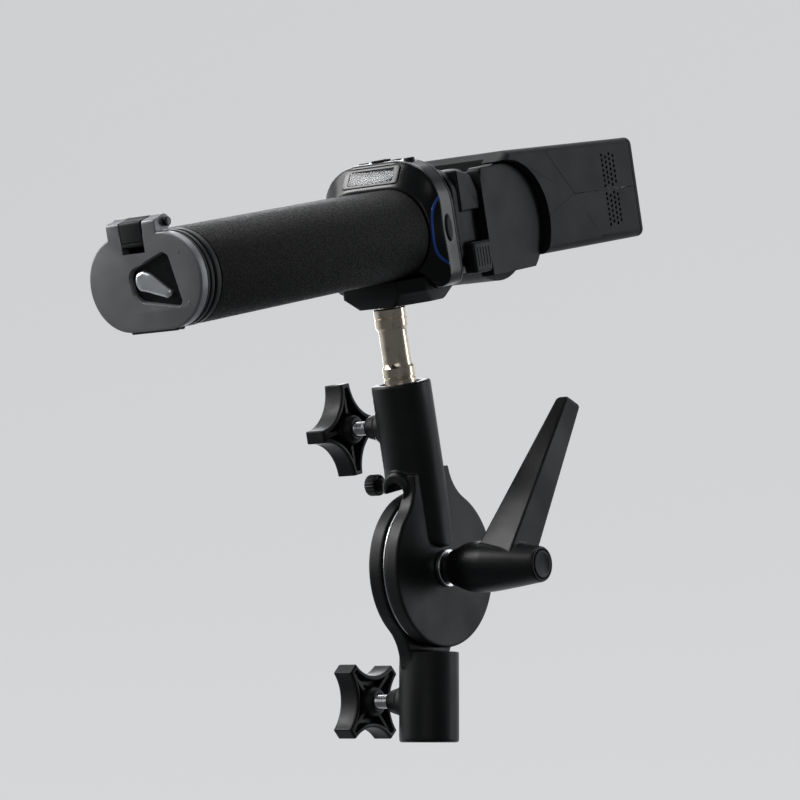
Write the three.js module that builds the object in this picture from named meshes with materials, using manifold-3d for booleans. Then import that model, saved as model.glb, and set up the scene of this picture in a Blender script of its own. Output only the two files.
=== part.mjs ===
// Battery strobe with an inline tilting head, standing on a tilting umbrella bracket.
// Millimetres, +Z up, +Y towards the lamp head, +X the lever side.
// Origin: centre of the lower socket's floor, where the top of the stand's stud rests.
import * as THREE from "three";
import { mergeVertices } from "three/addons/utils/BufferGeometryUtils.js";
import Module from "manifold-3d";

const wasm = await Module();
wasm.setup();

const DEG = Math.PI / 180;
const GAP = 0.3; // between fixed neighbours
const RUN = 0.08; // radial clearance of a running shaft
const FINE = 40; // sides of a large circle
const MEDIUM = 24;
const SMALL = 16;

// Bracket
const HINGE_Z = 74;
const TILT = 14 * DEG; // lean of the upper half at rest
const TUBE_R = 12.8;
const STUD_R = 8.1; // bore for a 5/8 inch stud
const LOWER_TUBE = 38.5;
const UPPER_TUBE = 81; // from the hinge to the tube's mouth
const SOCKET_DEPTH = 33;
const DISC_R = 33.8;
const UPPER_DISC = [2.4, 9.2];
const WASHER = [0.9, 2.1];
const LOWER_DISC = [-6.2, 0.6];
const PIVOT_R = 4.3; // hole for the lever's stud
const SHOULDER_R = 20;
const TONGUE = { start: 30, end: 9.5 };
const UMBRELLA_Z = 37.5; // hole above the hinge
const UMBRELLA_R = 4.2;
const UMBRELLA_RISE = 6.5 * DEG;
const LOWER_KNOB_Z = 17.5;
const UPPER_KNOB_Z = 62.5; // above the hinge
const SCREW_R = 3;
const BOSS = { root: 7, tip: 4.6, end: -20.5 };
const STAR = { radius: 20, lobe: 2.8, waist: 11.2, inner: -30, outer: -40, hub: 6.6 };
const LEVER = { lean: 33.4 * DEG, length: 75, neck: 11.9, start: 14, end: 60 };

// Strobe, measured from the grip's axis
const AXIS_Z = 144; // above the hinge
const GRIP = { w: 29.2, h: 19.05 };
const SLEEVE = 1.3;
const WALL = 2;
const DOOR = { back: -149.5, front: -145.3 };
const GASKET = [-145, -143.7];
const END_RING = [-143.4, -137.3];
const SLEEVE_Y = [-137, -3];
const SHELL_Y = [-137, 11.5];
const DOOR_PIN = { y: -143, z: 22.5, x: -3.2 };
const CELL = { r: 7.2, length: 48.9, nub: 1.4, x: 7.6, z: 7.5 };
const COLLAR = { back: -2.3, crest: 4.5, front: 14.6, w: 31.6, top: 30.6, low: -25 };
const FOOT = { top: -19.4, bottom: -30.2, bore: 5, insert: -22.6 };
const NECK_Y = [15.2, 33];
const HEAD_AXIS = { y: 47.5, z: -4 };
const CHEEK_R = 27;
const NECK_X = [26.4, 33];
const HEAD = { w: 36.7, front: 143.6 };
const BEZEL_FRONT = 146.4;
const ZOOM = { x: 31.4, z: -9, rod: 1.5, back: 84, front: 141 };

// --- solids -------------------------------------------------------------

function solid(source) {
  const bare = source.clone();
  bare.deleteAttribute("normal");
  bare.deleteAttribute("uv");
  const merged = mergeVertices(bare, 1e-3);
  const triVerts = new Uint32Array(merged.index.array);
  const build = () =>
    new wasm.Manifold(
      new wasm.Mesh({
        numProp: 3,
        vertProperties: merged.attributes.position.array,
        triVerts,
      }),
    );
  const made = build();
  if (made.volume() > 0) return made;
  for (let i = 0; i < triVerts.length; i += 3) {
    [triVerts[i + 1], triVerts[i + 2]] = [triVerts[i + 2], triVerts[i + 1]];
  }
  return build();
}

// Matrices that lay a shape's own depth (or a lathe's height) along an axis.
const SHAPE_TO = {
  x: new THREE.Matrix4().set(0, 0, 1, 0, 1, 0, 0, 0, 0, 1, 0, 0, 0, 0, 0, 1),
  y: new THREE.Matrix4().set(1, 0, 0, 0, 0, 0, 1, 0, 0, 1, 0, 0, 0, 0, 0, 1),
  z: new THREE.Matrix4(),
};
const LATHE_TO = {
  x: new THREE.Matrix4().set(0, 1, 0, 0, 0, 0, 1, 0, 1, 0, 0, 0, 0, 0, 0, 1),
  y: new THREE.Matrix4(),
  z: new THREE.Matrix4().set(1, 0, 0, 0, 0, 0, -1, 0, 0, 1, 0, 0, 0, 0, 0, 1),
};

// A flat outline pushed from one place to another along an axis.
// Outlines are (x, z) along y, (y, z) along x and (x, y) along z.
function prism(shape, from, to, axis = "y", curveSegments = 8) {
  const geometry = new THREE.ExtrudeGeometry(shape, {
    depth: to - from,
    bevelEnabled: false,
    curveSegments,
  });
  geometry.translate(0, 0, from);
  geometry.applyMatrix4(SHAPE_TO[axis]);
  return solid(geometry);
}

// A turned solid: pairs of [radius, place along the axis].
function turned(profile, axis, sides = MEDIUM) {
  const points = profile.map(([r, along]) => new THREE.Vector2(r, along));
  const geometry = new THREE.LatheGeometry(points, sides);
  geometry.applyMatrix4(LATHE_TO[axis]);
  return solid(geometry);
}

function rod(r, from, to, axis, sides = MEDIUM) {
  return turned([[0, from], [r, from], [r, to], [0, to]], axis, sides);
}

function ringOf(outer, inner, from, to, axis, sides = MEDIUM) {
  const profile = [[inner, from], [outer, from], [outer, to], [inner, to], [inner, from]];
  return turned(profile, axis, sides);
}

function block(x, y, z) {
  const geometry = new THREE.BoxGeometry(x[1] - x[0], y[1] - y[0], z[1] - z[0]);
  geometry.translate((x[0] + x[1]) / 2, (y[0] + y[1]) / 2, (z[0] + z[1]) / 2);
  return solid(geometry);
}

// A solid skinned over rings of matching [x, y, z] points, closed by a fan at each end.
function loft(rings) {
  const count = rings[0].length;
  const faces = [];
  for (let r = 0; r + 1 < rings.length; r += 1) {
    for (let k = 0; k < count; k += 1) {
      const a = r * count + k;
      const b = r * count + ((k + 1) % count);
      faces.push(a, b, b + count, a, b + count, a + count);
    }
  }
  const last = (rings.length - 1) * count;
  for (let k = 1; k + 1 < count; k += 1) {
    faces.push(0, k + 1, k, last, last + k, last + k + 1);
  }
  const geometry = new THREE.BufferGeometry();
  geometry.setAttribute("position", new THREE.Float32BufferAttribute(rings.flat(2), 3));
  geometry.setIndex(faces);
  return solid(geometry);
}

function join(...solids) {
  return solids.reduce((a, b) => a.add(b));
}

function cut(body, ...tools) {
  return tools.reduce((a, b) => a.subtract(b), body);
}

// --- outlines -----------------------------------------------------------

function stadium(w, h) {
  const shape = new THREE.Shape();
  shape.absarc(w - h, 0, h, -Math.PI / 2, Math.PI / 2, false);
  shape.absarc(h - w, 0, h, Math.PI / 2, 1.5 * Math.PI, false);
  shape.closePath();
  return shape;
}

function roundedBox(left, right, low, high, r) {
  const shape = new THREE.Shape();
  shape.absarc(right - r, low + r, r, -Math.PI / 2, 0, false);
  shape.absarc(right - r, high - r, r, 0, Math.PI / 2, false);
  shape.absarc(left + r, high - r, r, Math.PI / 2, Math.PI, false);
  shape.absarc(left + r, low + r, r, Math.PI, 1.5 * Math.PI, false);
  shape.closePath();
  return shape;
}

function polygon(points) {
  return new THREE.Shape(points.map(([a, b]) => new THREE.Vector2(a, b)));
}

// --- meshes -------------------------------------------------------------

const FINISH = {
  bracket: { color: 0x17181a, roughness: 0.45, metalness: 0.3 },
  knob: { color: 0x141517, roughness: 0.5, metalness: 0 },
  steel: { color: 0xc9cbcf, roughness: 0.25, metalness: 1 },
  brass: { color: 0xb58b45, roughness: 0.3, metalness: 1 },
  chrome: { color: 0xd9dadd, roughness: 0.08, metalness: 1 },
  sleeve: { color: 0x0f1011, roughness: 0.8, metalness: 0 },
  matte: { color: 0x121416, roughness: 0.6, metalness: 0 },
  gloss: { color: 0x090a0b, roughness: 0.15, metalness: 0 },
  head: { color: 0x1b1d1f, roughness: 0.65, metalness: 0 },
  door: { color: 0x6a6d70, roughness: 0.45, metalness: 0.3 },
  key: { color: 0x8b8e92, roughness: 0.2, metalness: 0.9 },
  blue: { color: 0x3465c4, roughness: 0.3, metalness: 0 },
  board: { color: 0x1c5a35, roughness: 0.5, metalness: 0 },
  cell: { color: 0x2f6b54, roughness: 0.4, metalness: 0.2 },
  lens: { color: 0xe8eef2, roughness: 0.1, metalness: 0 },
};

function mesh(name, body, finish) {
  const made = body.getMesh();
  const geometry = new THREE.BufferGeometry();
  geometry.setAttribute("position", new THREE.BufferAttribute(made.vertProperties, 3));
  geometry.setIndex(new THREE.BufferAttribute(made.triVerts, 1));
  geometry.computeVertexNormals();
  const result = new THREE.Mesh(geometry, new THREE.MeshStandardMaterial(FINISH[finish]));
  result.name = name;
  return result;
}

// --- bracket ------------------------------------------------------------

// Outline in (y, z) of a hinge disc that runs up into a tube with hollow shoulders.
function yokeOutline(top) {
  const half = TUBE_R - 0.15;
  const reach = DISC_R + SHOULDER_R;
  const centreY = half + SHOULDER_R;
  const centreZ = Math.sqrt(reach * reach - centreY * centreY);
  const meet = Math.atan2(centreZ, centreY);
  const shape = new THREE.Shape();
  shape.moveTo(-half, top);
  shape.absarc(-centreY, centreZ, SHOULDER_R, 0, -meet, true);
  shape.absarc(0, 0, DISC_R, Math.PI - meet, 2 * Math.PI + meet, false);
  shape.absarc(centreY, centreZ, SHOULDER_R, Math.PI + meet, Math.PI, true);
  shape.lineTo(half, top);
  shape.closePath();
  return shape;
}

// The tube's end on the disc, as a rounded tongue in (y, z).
function tongueOutline() {
  const shape = new THREE.Shape();
  shape.absellipse(0, TONGUE.start, TUBE_R, TONGUE.start - TONGUE.end, Math.PI, 2 * Math.PI);
  shape.lineTo(TUBE_R, UMBRELLA_Z);
  shape.lineTo(-TUBE_R, UMBRELLA_Z);
  shape.closePath();
  return shape;
}

// One half of the bracket about its hinge, with its disc on the +X side and its tube upwards.
function halfYoke(tubeTop, disc, farSideStart) {
  const chamfer = 0.8;
  const tube = turned(
    [
      [0, 0],
      [TUBE_R, 0],
      [TUBE_R, tubeTop - chamfer],
      [TUBE_R - chamfer, tubeTop],
      [0, tubeTop],
    ],
    "z",
    FINE,
  );
  const nearSide = prism(tongueOutline(), disc[0], TUBE_R + 1, "x", SMALL);
  const across = [-TUBE_R - 1, TUBE_R + 1];
  const above = block(across, across, [farSideStart, tubeTop + 1]);
  const plate = prism(yokeOutline(UMBRELLA_Z + 5), disc[0], disc[1], "x", 10);
  return join(plate, tube.intersect(join(nearSide, above)));
}

// Threaded boss for a star knob, pointing to -X at a height.
function knobBoss(z) {
  const { root, tip, end } = BOSS;
  const boss = turned([[0, -8], [root, -8], [root, -12.5], [tip, end], [0, end]], "x");
  return boss.translate([0, 0, z]);
}

function knobHole(z) {
  return rod(SCREW_R + 0.5, BOSS.end - 1, -STUD_R + 1, "x", SMALL).translate([0, 0, z]);
}

function socket(from, to) {
  return rod(STUD_R, from, to, "z", FINE);
}

function lowerYoke() {
  const turnedOver = halfYoke(HINGE_Z, [-LOWER_DISC[1], -LOWER_DISC[0]], HINGE_Z - LOWER_TUBE);
  const body = turnedOver.rotate([0, 180, 0]).translate([0, 0, HINGE_Z]);
  const nutPocket = rod(7.4, LOWER_DISC[0] - 1, LOWER_DISC[0] + 1.5, "x", 6);
  return cut(
    join(body, knobBoss(LOWER_KNOB_Z)),
    socket(-1, SOCKET_DEPTH),
    knobHole(LOWER_KNOB_Z),
    rod(PIVOT_R, -20, 20, "x").translate([0, 0, HINGE_Z]),
    nutPocket.translate([0, 0, HINGE_Z]),
  );
}

function upperYoke() {
  const body = halfYoke(UPPER_TUBE, UPPER_DISC, DISC_R + 1.6);
  const rearBoss = rod(7, -15.2, -6, "y").translate([0, 0, UMBRELLA_Z]);
  const umbrellaHole = rod(UMBRELLA_R, -30, 30, "y")
    .rotate([UMBRELLA_RISE / DEG, 0, 0])
    .translate([0, 0, UMBRELLA_Z]);
  const belowBoss = block([-8, UPPER_DISC[0]], [-20, 0], [0, DISC_R + 1.6]);
  return cut(
    join(body, cut(rearBoss, belowBoss), knobBoss(UPPER_KNOB_Z)),
    socket(UMBRELLA_Z + 7, UPPER_TUBE + 1),
    umbrellaHole,
    knobHole(UPPER_KNOB_Z),
    rod(2.4, -TUBE_R - 1, -1, "x", SMALL).translate([0, 0, UMBRELLA_Z]),
    rod(PIVOT_R, -20, 20, "x"),
  );
}

// Four-lobed outline in (y, z) with hollow flanks.
function starOutline() {
  const diagonal = STAR.waist / Math.SQRT2;
  const span = STAR.radius + STAR.lobe - 2 * diagonal;
  const square = STAR.radius ** 2 + STAR.lobe ** 2 - 2 * diagonal ** 2;
  const centre = square / (2 * span);
  const r = Math.SQRT2 * (centre - diagonal);
  const start = Math.atan2(STAR.lobe - centre, STAR.radius - centre);
  const shape = new THREE.Shape();
  for (let quarter = 0; quarter < 4; quarter += 1) {
    const turn = (quarter * Math.PI) / 2;
    const x = centre * (Math.cos(turn) - Math.sin(turn));
    const y = centre * (Math.sin(turn) + Math.cos(turn));
    shape.absarc(x, y, r, start + turn, -Math.PI / 2 - start + turn - Math.PI, true);
  }
  shape.closePath();
  return shape;
}

function starKnob() {
  const star = prism(starOutline(), STAR.outer, STAR.inner, "x", 7);
  const hub = turned(
    [[0, STAR.inner - 1], [STAR.hub, STAR.inner - 1], [STAR.hub, STAR.inner + 1], [5, -27], [0, -27]],
    "x",
  );
  return cut(join(star, hub), rod(SCREW_R + GAP, STAR.outer + 3, -20, "x", SMALL));
}

function knobScrew() {
  return rod(SCREW_R, STAR.outer + 3 + GAP, -STUD_R - 4, "x", SMALL);
}

function clampPad() {
  return rod(SCREW_R - 0.2, -STUD_R - 4 + GAP, -STUD_R + 0.1, "x", SMALL);
}

function thumbscrew() {
  const end = -UMBRELLA_R - 0.3;
  return turned([[0, -25], [4.6, -25], [4.6, -19.6], [2, -19.6], [2, end], [0, end]], "x", SMALL);
}

// Square-ended arm that leans out and thins towards its tip, made from two end outlines.
function leverArm() {
  const root = { x: [29.5, 48.5], half: 8.8, z: 2 };
  const tip = { x: [53.3, 58.9], half: 5, z: LEVER.length };
  const corners = [];
  for (const end of [root, tip]) {
    corners.push([end.x[0], -end.half, end.z], [end.x[1], -end.half, end.z]);
    corners.push([end.x[1], end.half, end.z], [end.x[0], end.half, end.z]);
  }
  const faces = [0, 2, 1, 0, 3, 2, 4, 5, 6, 4, 6, 7];
  for (let side = 0; side < 4; side += 1) {
    const next = (side + 1) % 4;
    faces.push(side, next, next + 4, side, next + 4, side + 4);
  }
  const geometry = new THREE.BufferGeometry();
  geometry.setAttribute("position", new THREE.Float32BufferAttribute(corners.flat(), 3));
  geometry.setAttribute("normal", new THREE.Float32BufferAttribute(corners.flat(), 3));
  geometry.setAttribute("uv", new THREE.Float32BufferAttribute(new Array(16).fill(0), 2));
  geometry.setIndex(faces);
  return solid(geometry).rotate([-LEVER.lean / DEG, 0, 0]);
}

function clampLever() {
  const barrel = turned(
    [
      [0, LEVER.neck],
      [6.6, LEVER.neck],
      [6.6, LEVER.start],
      [7.6, LEVER.start],
      [8.2, LEVER.start + 2],
      [10.4, 22],
      [11, 28],
      [10.6, 36],
      [9, 48],
      [7.4, LEVER.end],
      [0, LEVER.end],
    ],
    "x",
  );
  return cut(
    join(barrel, leverArm()),
    rod(4 + GAP, LEVER.neck - 1, 34, "x", SMALL),
    rod(6, LEVER.end - 1.4, LEVER.end + 1, "x"),
  );
}

function hingeNut() {
  const hexagon = rod(7, LOWER_DISC[0] - 3.4, LOWER_DISC[0] + 1.2, "x", 6);
  return cut(hexagon, rod(4 + GAP, -20, 0, "x", SMALL));
}

function leverStud() {
  return rod(4, LOWER_DISC[0] - 3, 34 - GAP, "x", SMALL);
}

function spigot() {
  return turned(
    [
      [0, UMBRELLA_Z + 9],
      [7.2, UMBRELLA_Z + 9],
      [STUD_R - 0.15, UMBRELLA_Z + 10],
      [STUD_R - 0.15, 76],
      [6.9, 78],
      [6.9, 88],
      [6.2, 89],
      [6.2, 104],
      [7, 105],
      [7, 113.3],
      [3, 113.3],
      [3, 121],
      [0, 121],
    ],
    "z",
  );
}

// --- strobe: grip -------------------------------------------------------

function stadiumTube(w, h, wall, y) {
  return cut(prism(stadium(w, h), y[0], y[1]), prism(stadium(w - wall, h - wall), y[0] - 1, y[1] + 1));
}

function gripShell() {
  return stadiumTube(GRIP.w - SLEEVE - GAP, GRIP.h - SLEEVE - GAP, WALL, SHELL_Y);
}

// Half outline of the collar's full section in (x, z), from the top down the +X side.
const COLLAR_SIDE = [
  [11, 0],
  [18, -1.4],
  [24, -4.6],
  [28.4, -9.8],
  [31, -16.4],
];

const COLLAR_SIDES = 72;

function collarOutline(spare) {
  const w = COLLAR.w + spare;
  const right = COLLAR_SIDE.map(([x, drop]) => [x + spare, COLLAR.top + spare + drop]);
  const low = [
    [w, 9],
    [w, COLLAR.low + 5.4],
    [w - 1.6, COLLAR.low + 1.6 - spare],
    [w - 5.4, COLLAR.low - spare],
  ];
  const half = [...right, ...low];
  return polygon([...half, ...half.map(([x, z]) => [-x, z]).reverse()]);
}

// A convex (x, z) outline's points where rays from the origin at even angles meet it.
function radialRing(shape, y, count) {
  const points = shape.getPoints(12);
  const ring = [];
  for (let k = 0; k < count; k += 1) {
    const angle = (2 * Math.PI * (k + 0.5)) / count;
    const [c, s] = [Math.cos(angle), Math.sin(angle)];
    let reach = 0;
    points.forEach((a, n) => {
      const b = points[(n + 1) % points.length];
      const cross = c * (b.y - a.y) - s * (b.x - a.x);
      if (Math.abs(cross) < 1e-9) return;
      const along = (a.x * (b.y - a.y) - a.y * (b.x - a.x)) / cross;
      const part = (a.x * s - a.y * c) / cross;
      if (along > 0 && part > -1e-6 && part < 1 + 1e-6) reach = Math.max(reach, along);
    });
    ring.push([reach * c, y, reach * s]);
  }
  return ring;
}

// The collar swells from the grip's oval to its full section; spare grows it on every side.
function collarBody(spare) {
  const oval = stadium(GRIP.w + 0.7 + spare, GRIP.h + 0.7 + spare);
  const root = radialRing(oval, COLLAR.back, COLLAR_SIDES);
  const crest = radialRing(collarOutline(spare), COLLAR.crest, COLLAR_SIDES);
  const front = crest.map(([x, , z]) => [x, COLLAR.front, z]);
  return loft([root, crest, front]);
}

function gripSleeve() {
  const [back, end] = SLEEVE_Y;
  return cut(
    prism(stadium(GRIP.w, GRIP.h), back, end),
    prism(stadium(GRIP.w - SLEEVE, GRIP.h - SLEEVE), back - 1, end + 1),
  );
}

function gripEndRing() {
  const body = cut(
    prism(stadium(GRIP.w, GRIP.h), END_RING[0], END_RING[1]),
    prism(stadium(GRIP.w - 4.2, GRIP.h - 3.6), END_RING[0] - 1, END_RING[1] + 1),
  );
  const leaf = join(
    block([DOOR_PIN.x - 5.6, DOOR_PIN.x + 5.6], [DOOR.back, DOOR_PIN.y + 2], [14, DOOR_PIN.z]),
    rod(3.1, DOOR_PIN.x - 5.6, DOOR_PIN.x + 5.6, "x").translate([0, DOOR_PIN.y, DOOR_PIN.z]),
  );
  const clearOfGasket = block([-20, 20], [GASKET[0] - 0.8, GASKET[1] + GAP], [0, 15.3]);
  const pinHole = rod(1.2 + RUN, DOOR_PIN.x - 20, DOOR_PIN.x + 20, "x", SMALL);
  return cut(join(body, cut(leaf, clearOfGasket)), pinHole.translate([0, DOOR_PIN.y, DOOR_PIN.z]));
}

// Fan-shaped pocket in (x, z) for the key: round at its pivot, wide to the right.
const KEY_PIVOT = { x: -1.6, z: 0.2 };

function fanOutline(spare) {
  return polygon([
    [-7.6 - spare, 2],
    [-6.2 - spare, 5 + spare],
    [11, 10.8 + spare],
    [13.6 + spare, 9.6 + spare],
    [17.6 + spare, -8.6],
    [16 + spare, -10.6 - spare],
    [-3, -7.4 - spare],
    [-6.6 - spare, -4.4],
  ]);
}

function batteryDoor() {
  const plate = prism(stadium(GRIP.w, GRIP.h), DOOR.back, DOOR.front, "y", 14);
  const lugs = [-9.4, 9.4].map((side) => {
    const x = [DOOR_PIN.x + side - 3.4, DOOR_PIN.x + side + 3.4];
    return join(
      rod(3.1, x[0], x[1], "x").translate([0, DOOR_PIN.y, DOOR_PIN.z]),
      block(x, [DOOR.back, DOOR_PIN.y], [DOOR_PIN.z - 5, DOOR_PIN.z + 1.6]),
    );
  });
  const ringRelief = block([-30, 30], [DOOR.front, DOOR_PIN.y + 5], [-30, DOOR_PIN.z - 3.15]);
  const notchSides = [DOOR_PIN.x - 5.95, DOOR_PIN.x + 5.95];
  const notch = block(notchSides, [DOOR.back - 1, DOOR.front + 5], [11.6, 40]);
  return cut(
    join(plate, ...lugs.map((lug) => cut(lug, ringRelief))),
    notch,
    prism(fanOutline(0), DOOR.back - 1, DOOR.back + 3),
    rod(2.6, DOOR.back - 1, DOOR.front + 1, "y", SMALL).translate([KEY_PIVOT.x, 0, KEY_PIVOT.z]),
    rod(1.2 + GAP, -40, 40, "x", SMALL).translate([0, DOOR_PIN.y, DOOR_PIN.z]),
  );
}

function doorGasket() {
  return cut(
    prism(stadium(GRIP.w - 0.4, GRIP.h - 0.4), GASKET[0], GASKET[1]),
    prism(stadium(GRIP.w - 5, GRIP.h - 5), GASKET[0] - 1, GASKET[1] + 1),
    block([DOOR_PIN.x - 7, DOOR_PIN.x + 7], [-150, -140], [GRIP.h - 5.5, 30]),
  );
}

// Tapered pointer with a round pivot end, its shaft and the bolt behind the door.
function doorKey() {
  const outline = polygon([
    [-3.6, 3.4],
    [1, 4.2],
    [5, 2.6],
    [14.2, -4.6],
    [13.4, -6.6],
    [11, -7],
    [0, -4.4],
  ]);
  const pointer = prism(outline, DOOR.back + 0.5, DOOR.back + 2.7);
  const shaft = rod(2.6 - RUN, DOOR.back + 2, DOOR.front + 3, "y", SMALL);
  const bolt = block([-2.6, 9], [DOOR.front + 0.6, DOOR.front + 2.6], [-2.6, 2.6]);
  const local = join(shaft, bolt).translate([KEY_PIVOT.x, 0, KEY_PIVOT.z]);
  return join(pointer.translate([KEY_PIVOT.x, 0, KEY_PIVOT.z]), local);
}

// --- strobe: battery magazine -------------------------------------------

const PLATE = 2;
const TIER = CELL.length + CELL.nub + 0.4;
const MAGAZINE_BACK = -135.8;

function tierStart(tier) {
  return MAGAZINE_BACK + PLATE + tier * (TIER + PLATE);
}

function magazineFrame() {
  const end = tierStart(2);
  const plates = [0, 1, 2].map((n) => {
    const y = MAGAZINE_BACK + n * (TIER + PLATE);
    return prism(stadium(24.8, 15), y, y + PLATE);
  });
  const rails = [-1, 1].map((side) => {
    const x = [side * 19.5 - 2.5, side * 19.5 + 2.5];
    return block(x, [MAGAZINE_BACK, end], [-6, 6]);
  });
  return join(...plates, ...rails, rod(2.6, MAGAZINE_BACK, end, "y", SMALL));
}

function cell(tier, x, z) {
  const start = tierStart(tier) + 0.2;
  const can = turned(
    [
      [0, start],
      [CELL.r, start],
      [CELL.r, start + CELL.length],
      [2.6, start + CELL.length],
      [2.6, start + CELL.length + CELL.nub],
      [0, start + CELL.length + CELL.nub],
    ],
    "y",
    SMALL,
  );
  return can.translate([x, 0, z]);
}

// --- strobe: collar and controls ----------------------------------------

const PANEL = { tilt: 58, y: 1.1, z: 25.1, w: 15, h: 4.6 };
const DIAL = { x: 0, y: 9.6, r: 4.2, base: 27.6, top: 31.6 };
const BUTTONS = {
  power_button: [-9.5, 9.6],
  mode_button: [8.4, 9.6],
  test_button: [15, 9.6],
};
const BUTTON_R = 2.4;
const SIDE_BUTTON = { y: 8, z: -0.4, w: 2.2, h: 5.6 };

// A panel solid drawn flat about the panel's centre, laid on the collar's rear slope.
function onPanel(body) {
  return body.rotate([PANEL.tilt, 0, 0]).translate([0, PANEL.y, PANEL.z]);
}

function panelPocket(spare) {
  const { w, h } = PANEL;
  const outline = roundedBox(-w - spare, w + spare, -h - spare, h + spare, 2);
  return onPanel(prism(outline, -1.4 - spare, 6, "z", 3));
}

function sideOval(spare, x) {
  const shape = new THREE.Shape();
  const { y, z, w, h } = SIDE_BUTTON;
  shape.absellipse(y, z, w + spare, h + spare, 0, 2 * Math.PI);
  return prism(shape, x[0], x[1], "x", 12);
}

function collarShell() {
  const gripSpace = prism(stadium(GRIP.w - SLEEVE, GRIP.h - SLEEVE), -60, 12);
  const wires = rod(14.1, 0, 30, "y");
  const panelWell = onPanel(block([-12.4, 12.4], [-4, 4], [-4, 1]));
  const dialWell = rod(DIAL.r + 0.4, DIAL.base - 0.4, 40, "z").translate([DIAL.x, DIAL.y, 0]);
  const buttonWells = Object.values(BUTTONS).map(([x, y]) =>
    rod(BUTTON_R + 0.3, 25, 40, "z", SMALL).translate([x, y, 0]),
  );
  return cut(
    collarBody(0),
    gripSpace,
    wires,
    panelPocket(GAP),
    panelWell,
    dialWell,
    ...buttonWells,
    sideOval(GAP, [27.5, 40]),
    rod(FOOT.bore + GAP, -40, FOOT.insert + GAP, "z"),
    rod(3.5 + GAP, FOOT.insert - 1, -10, "z", SMALL),
  );
}

// Tapered foot under the collar: narrow behind the stud, as wide as the collar in front.
function mountingFoot() {
  const { front } = COLLAR;
  const sole = [[10, -9], [20, 4], [20, front], [-20, front], [-20, 4], [-10, -9]];
  const rim = [[15, -11], [22, -1.5], [25, front], [-25, front], [-22, -1.5], [-15, -11]];
  const levels = [[sole, FOOT.bottom], [rim, FOOT.bottom + 5], [rim, FOOT.top]];
  const body = loft(levels.map(([outline, z]) => outline.map(([x, y]) => [x, y, z])));
  return cut(body, collarBody(GAP), rod(FOOT.bore + GAP, -40, 0, "z"));
}

function threadInsert() {
  return ringOf(FOOT.bore, 3.2, FOOT.bottom + 0.1, FOOT.insert, "z");
}

// Crescent of trim where the collar swells out of the grip, on the +X side.
function sideTrim() {
  const shape = new THREE.Shape();
  shape.absarc(17.4, -1.2, 19.4, Math.PI - 0.9, Math.PI + 0.9, false);
  shape.absarc(17.8, -1.2, 18.4, Math.PI + 0.9, Math.PI - 0.9, true);
  shape.closePath();
  return cut(prism(shape, 28, 40, "x", 10).intersect(collarBody(0.8)), collarBody(GAP));
}

function panelGlass() {
  const { w, h } = PANEL;
  return onPanel(prism(roundedBox(-w, w, -h, h, 1.8), -1.4, 0.1, "z", 3));
}

function lcdModule() {
  return onPanel(block([-12, 12], [-3.7, 3.7], [-3.6, -1.4 - GAP]));
}

function controlDial() {
  const { x, y, r, base, top } = DIAL;
  const profile = [
    [0, base],
    [r, base],
    [r, top - 0.6],
    [r - 0.6, top],
    [2, top],
    [1.5, top - 0.5],
    [0, top - 0.5],
  ];
  return turned(profile, "z").translate([x, y, 0]);
}

function panelButton([x, y]) {
  return rod(BUTTON_R, 26.2, 31.1, "z", SMALL).translate([x, y, 0]);
}

function mainBoard() {
  return block([-16.5, 16.5], [-25, 4], [10.5, 12.1]);
}

function mainCapacitor() {
  return rod(11.5, -26, 3, "y").translate([-5, 0, -3.2]);
}

// --- strobe: neck -------------------------------------------------------

function neckBase() {
  const body = prism(roundedBox(-31, 31, -22.4, 24.6, 11), NECK_Y[0], NECK_Y[1], "y", 6);
  const spigotRing = rod(13.8, 11.9, NECK_Y[0] + 1, "y");
  const latchSlot = block([27, 40], [19.5, 33.2], [-22.2, -8]);
  return cut(join(body, spigotRing), rod(10, 0, 60, "y"), latchSlot, neckWell());
}

// Hollow inside the neck that leaves room for the head's round tongue.
function neckWell() {
  return rod(24.6, -NECK_X[0], NECK_X[0], "x", FINE).translate([0, HEAD_AXIS.y, HEAD_AXIS.z]);
}

function swivelRing() {
  return ringOf(15.1, 10, 8.6, 11.9 - GAP, "y");
}

// The two round cheeks that carry the head's axle.
function neckFork() {
  const circle = new THREE.Shape();
  circle.absarc(HEAD_AXIS.y, HEAD_AXIS.z, CHEEK_R, 0, 2 * Math.PI);
  const arm = polygon([[NECK_Y[1] + GAP, -21.4], [56, -21.4], [56, 22.6], [NECK_Y[1] + GAP, 22.6]]);
  const flat = block([-40, 40], [NECK_Y[1] + GAP, 80], [-21.6, 40]);
  const cheeks = [-1, 1].map((side) => {
    const x = side > 0 ? NECK_X : [-NECK_X[1], -NECK_X[0]];
    const disc = prism(circle, x[0], x[1], "x", FINE / 2);
    const strap = prism(arm, x[0], x[1], "x").intersect(disc.translate([0, -16, 0]).add(disc));
    const hole = rod(5 + GAP, x[0] - 1, x[1] - (side > 0 ? 2 : -1), "x");
    const bore = side > 0 ? hole : rod(5 + GAP, x[0] + 2, x[1] + 1, "x");
    return cut(join(disc, strap).intersect(flat), bore.translate([0, HEAD_AXIS.y, HEAD_AXIS.z]));
  });
  const bridge = block([-27, 27], [NECK_Y[1] + GAP, NECK_Y[1] + 5], [-20, 21]);
  return cut(join(...cheeks, cut(bridge, neckWell())), rod(10, 0, 60, "y"));
}

function tiltAxle() {
  return rod(5, -31 + GAP, 31 - GAP, "x").translate([0, HEAD_AXIS.y, HEAD_AXIS.z]);
}

function latchButton() {
  return block([28, 34.6], [19.8, 32.9], [-21.9, -8.3]);
}

// --- strobe: head -------------------------------------------------------

function headOutline(inset) {
  return polygon([
    [40 + inset, 18],
    [40.5 + inset, 20.6 - inset],
    [51.6, 27.6 - inset],
    [HEAD.front, 24 - inset],
    [HEAD.front, -21.1 + inset],
    [60, -19.6 + inset],
    [50, -18],
  ]);
}

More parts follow.
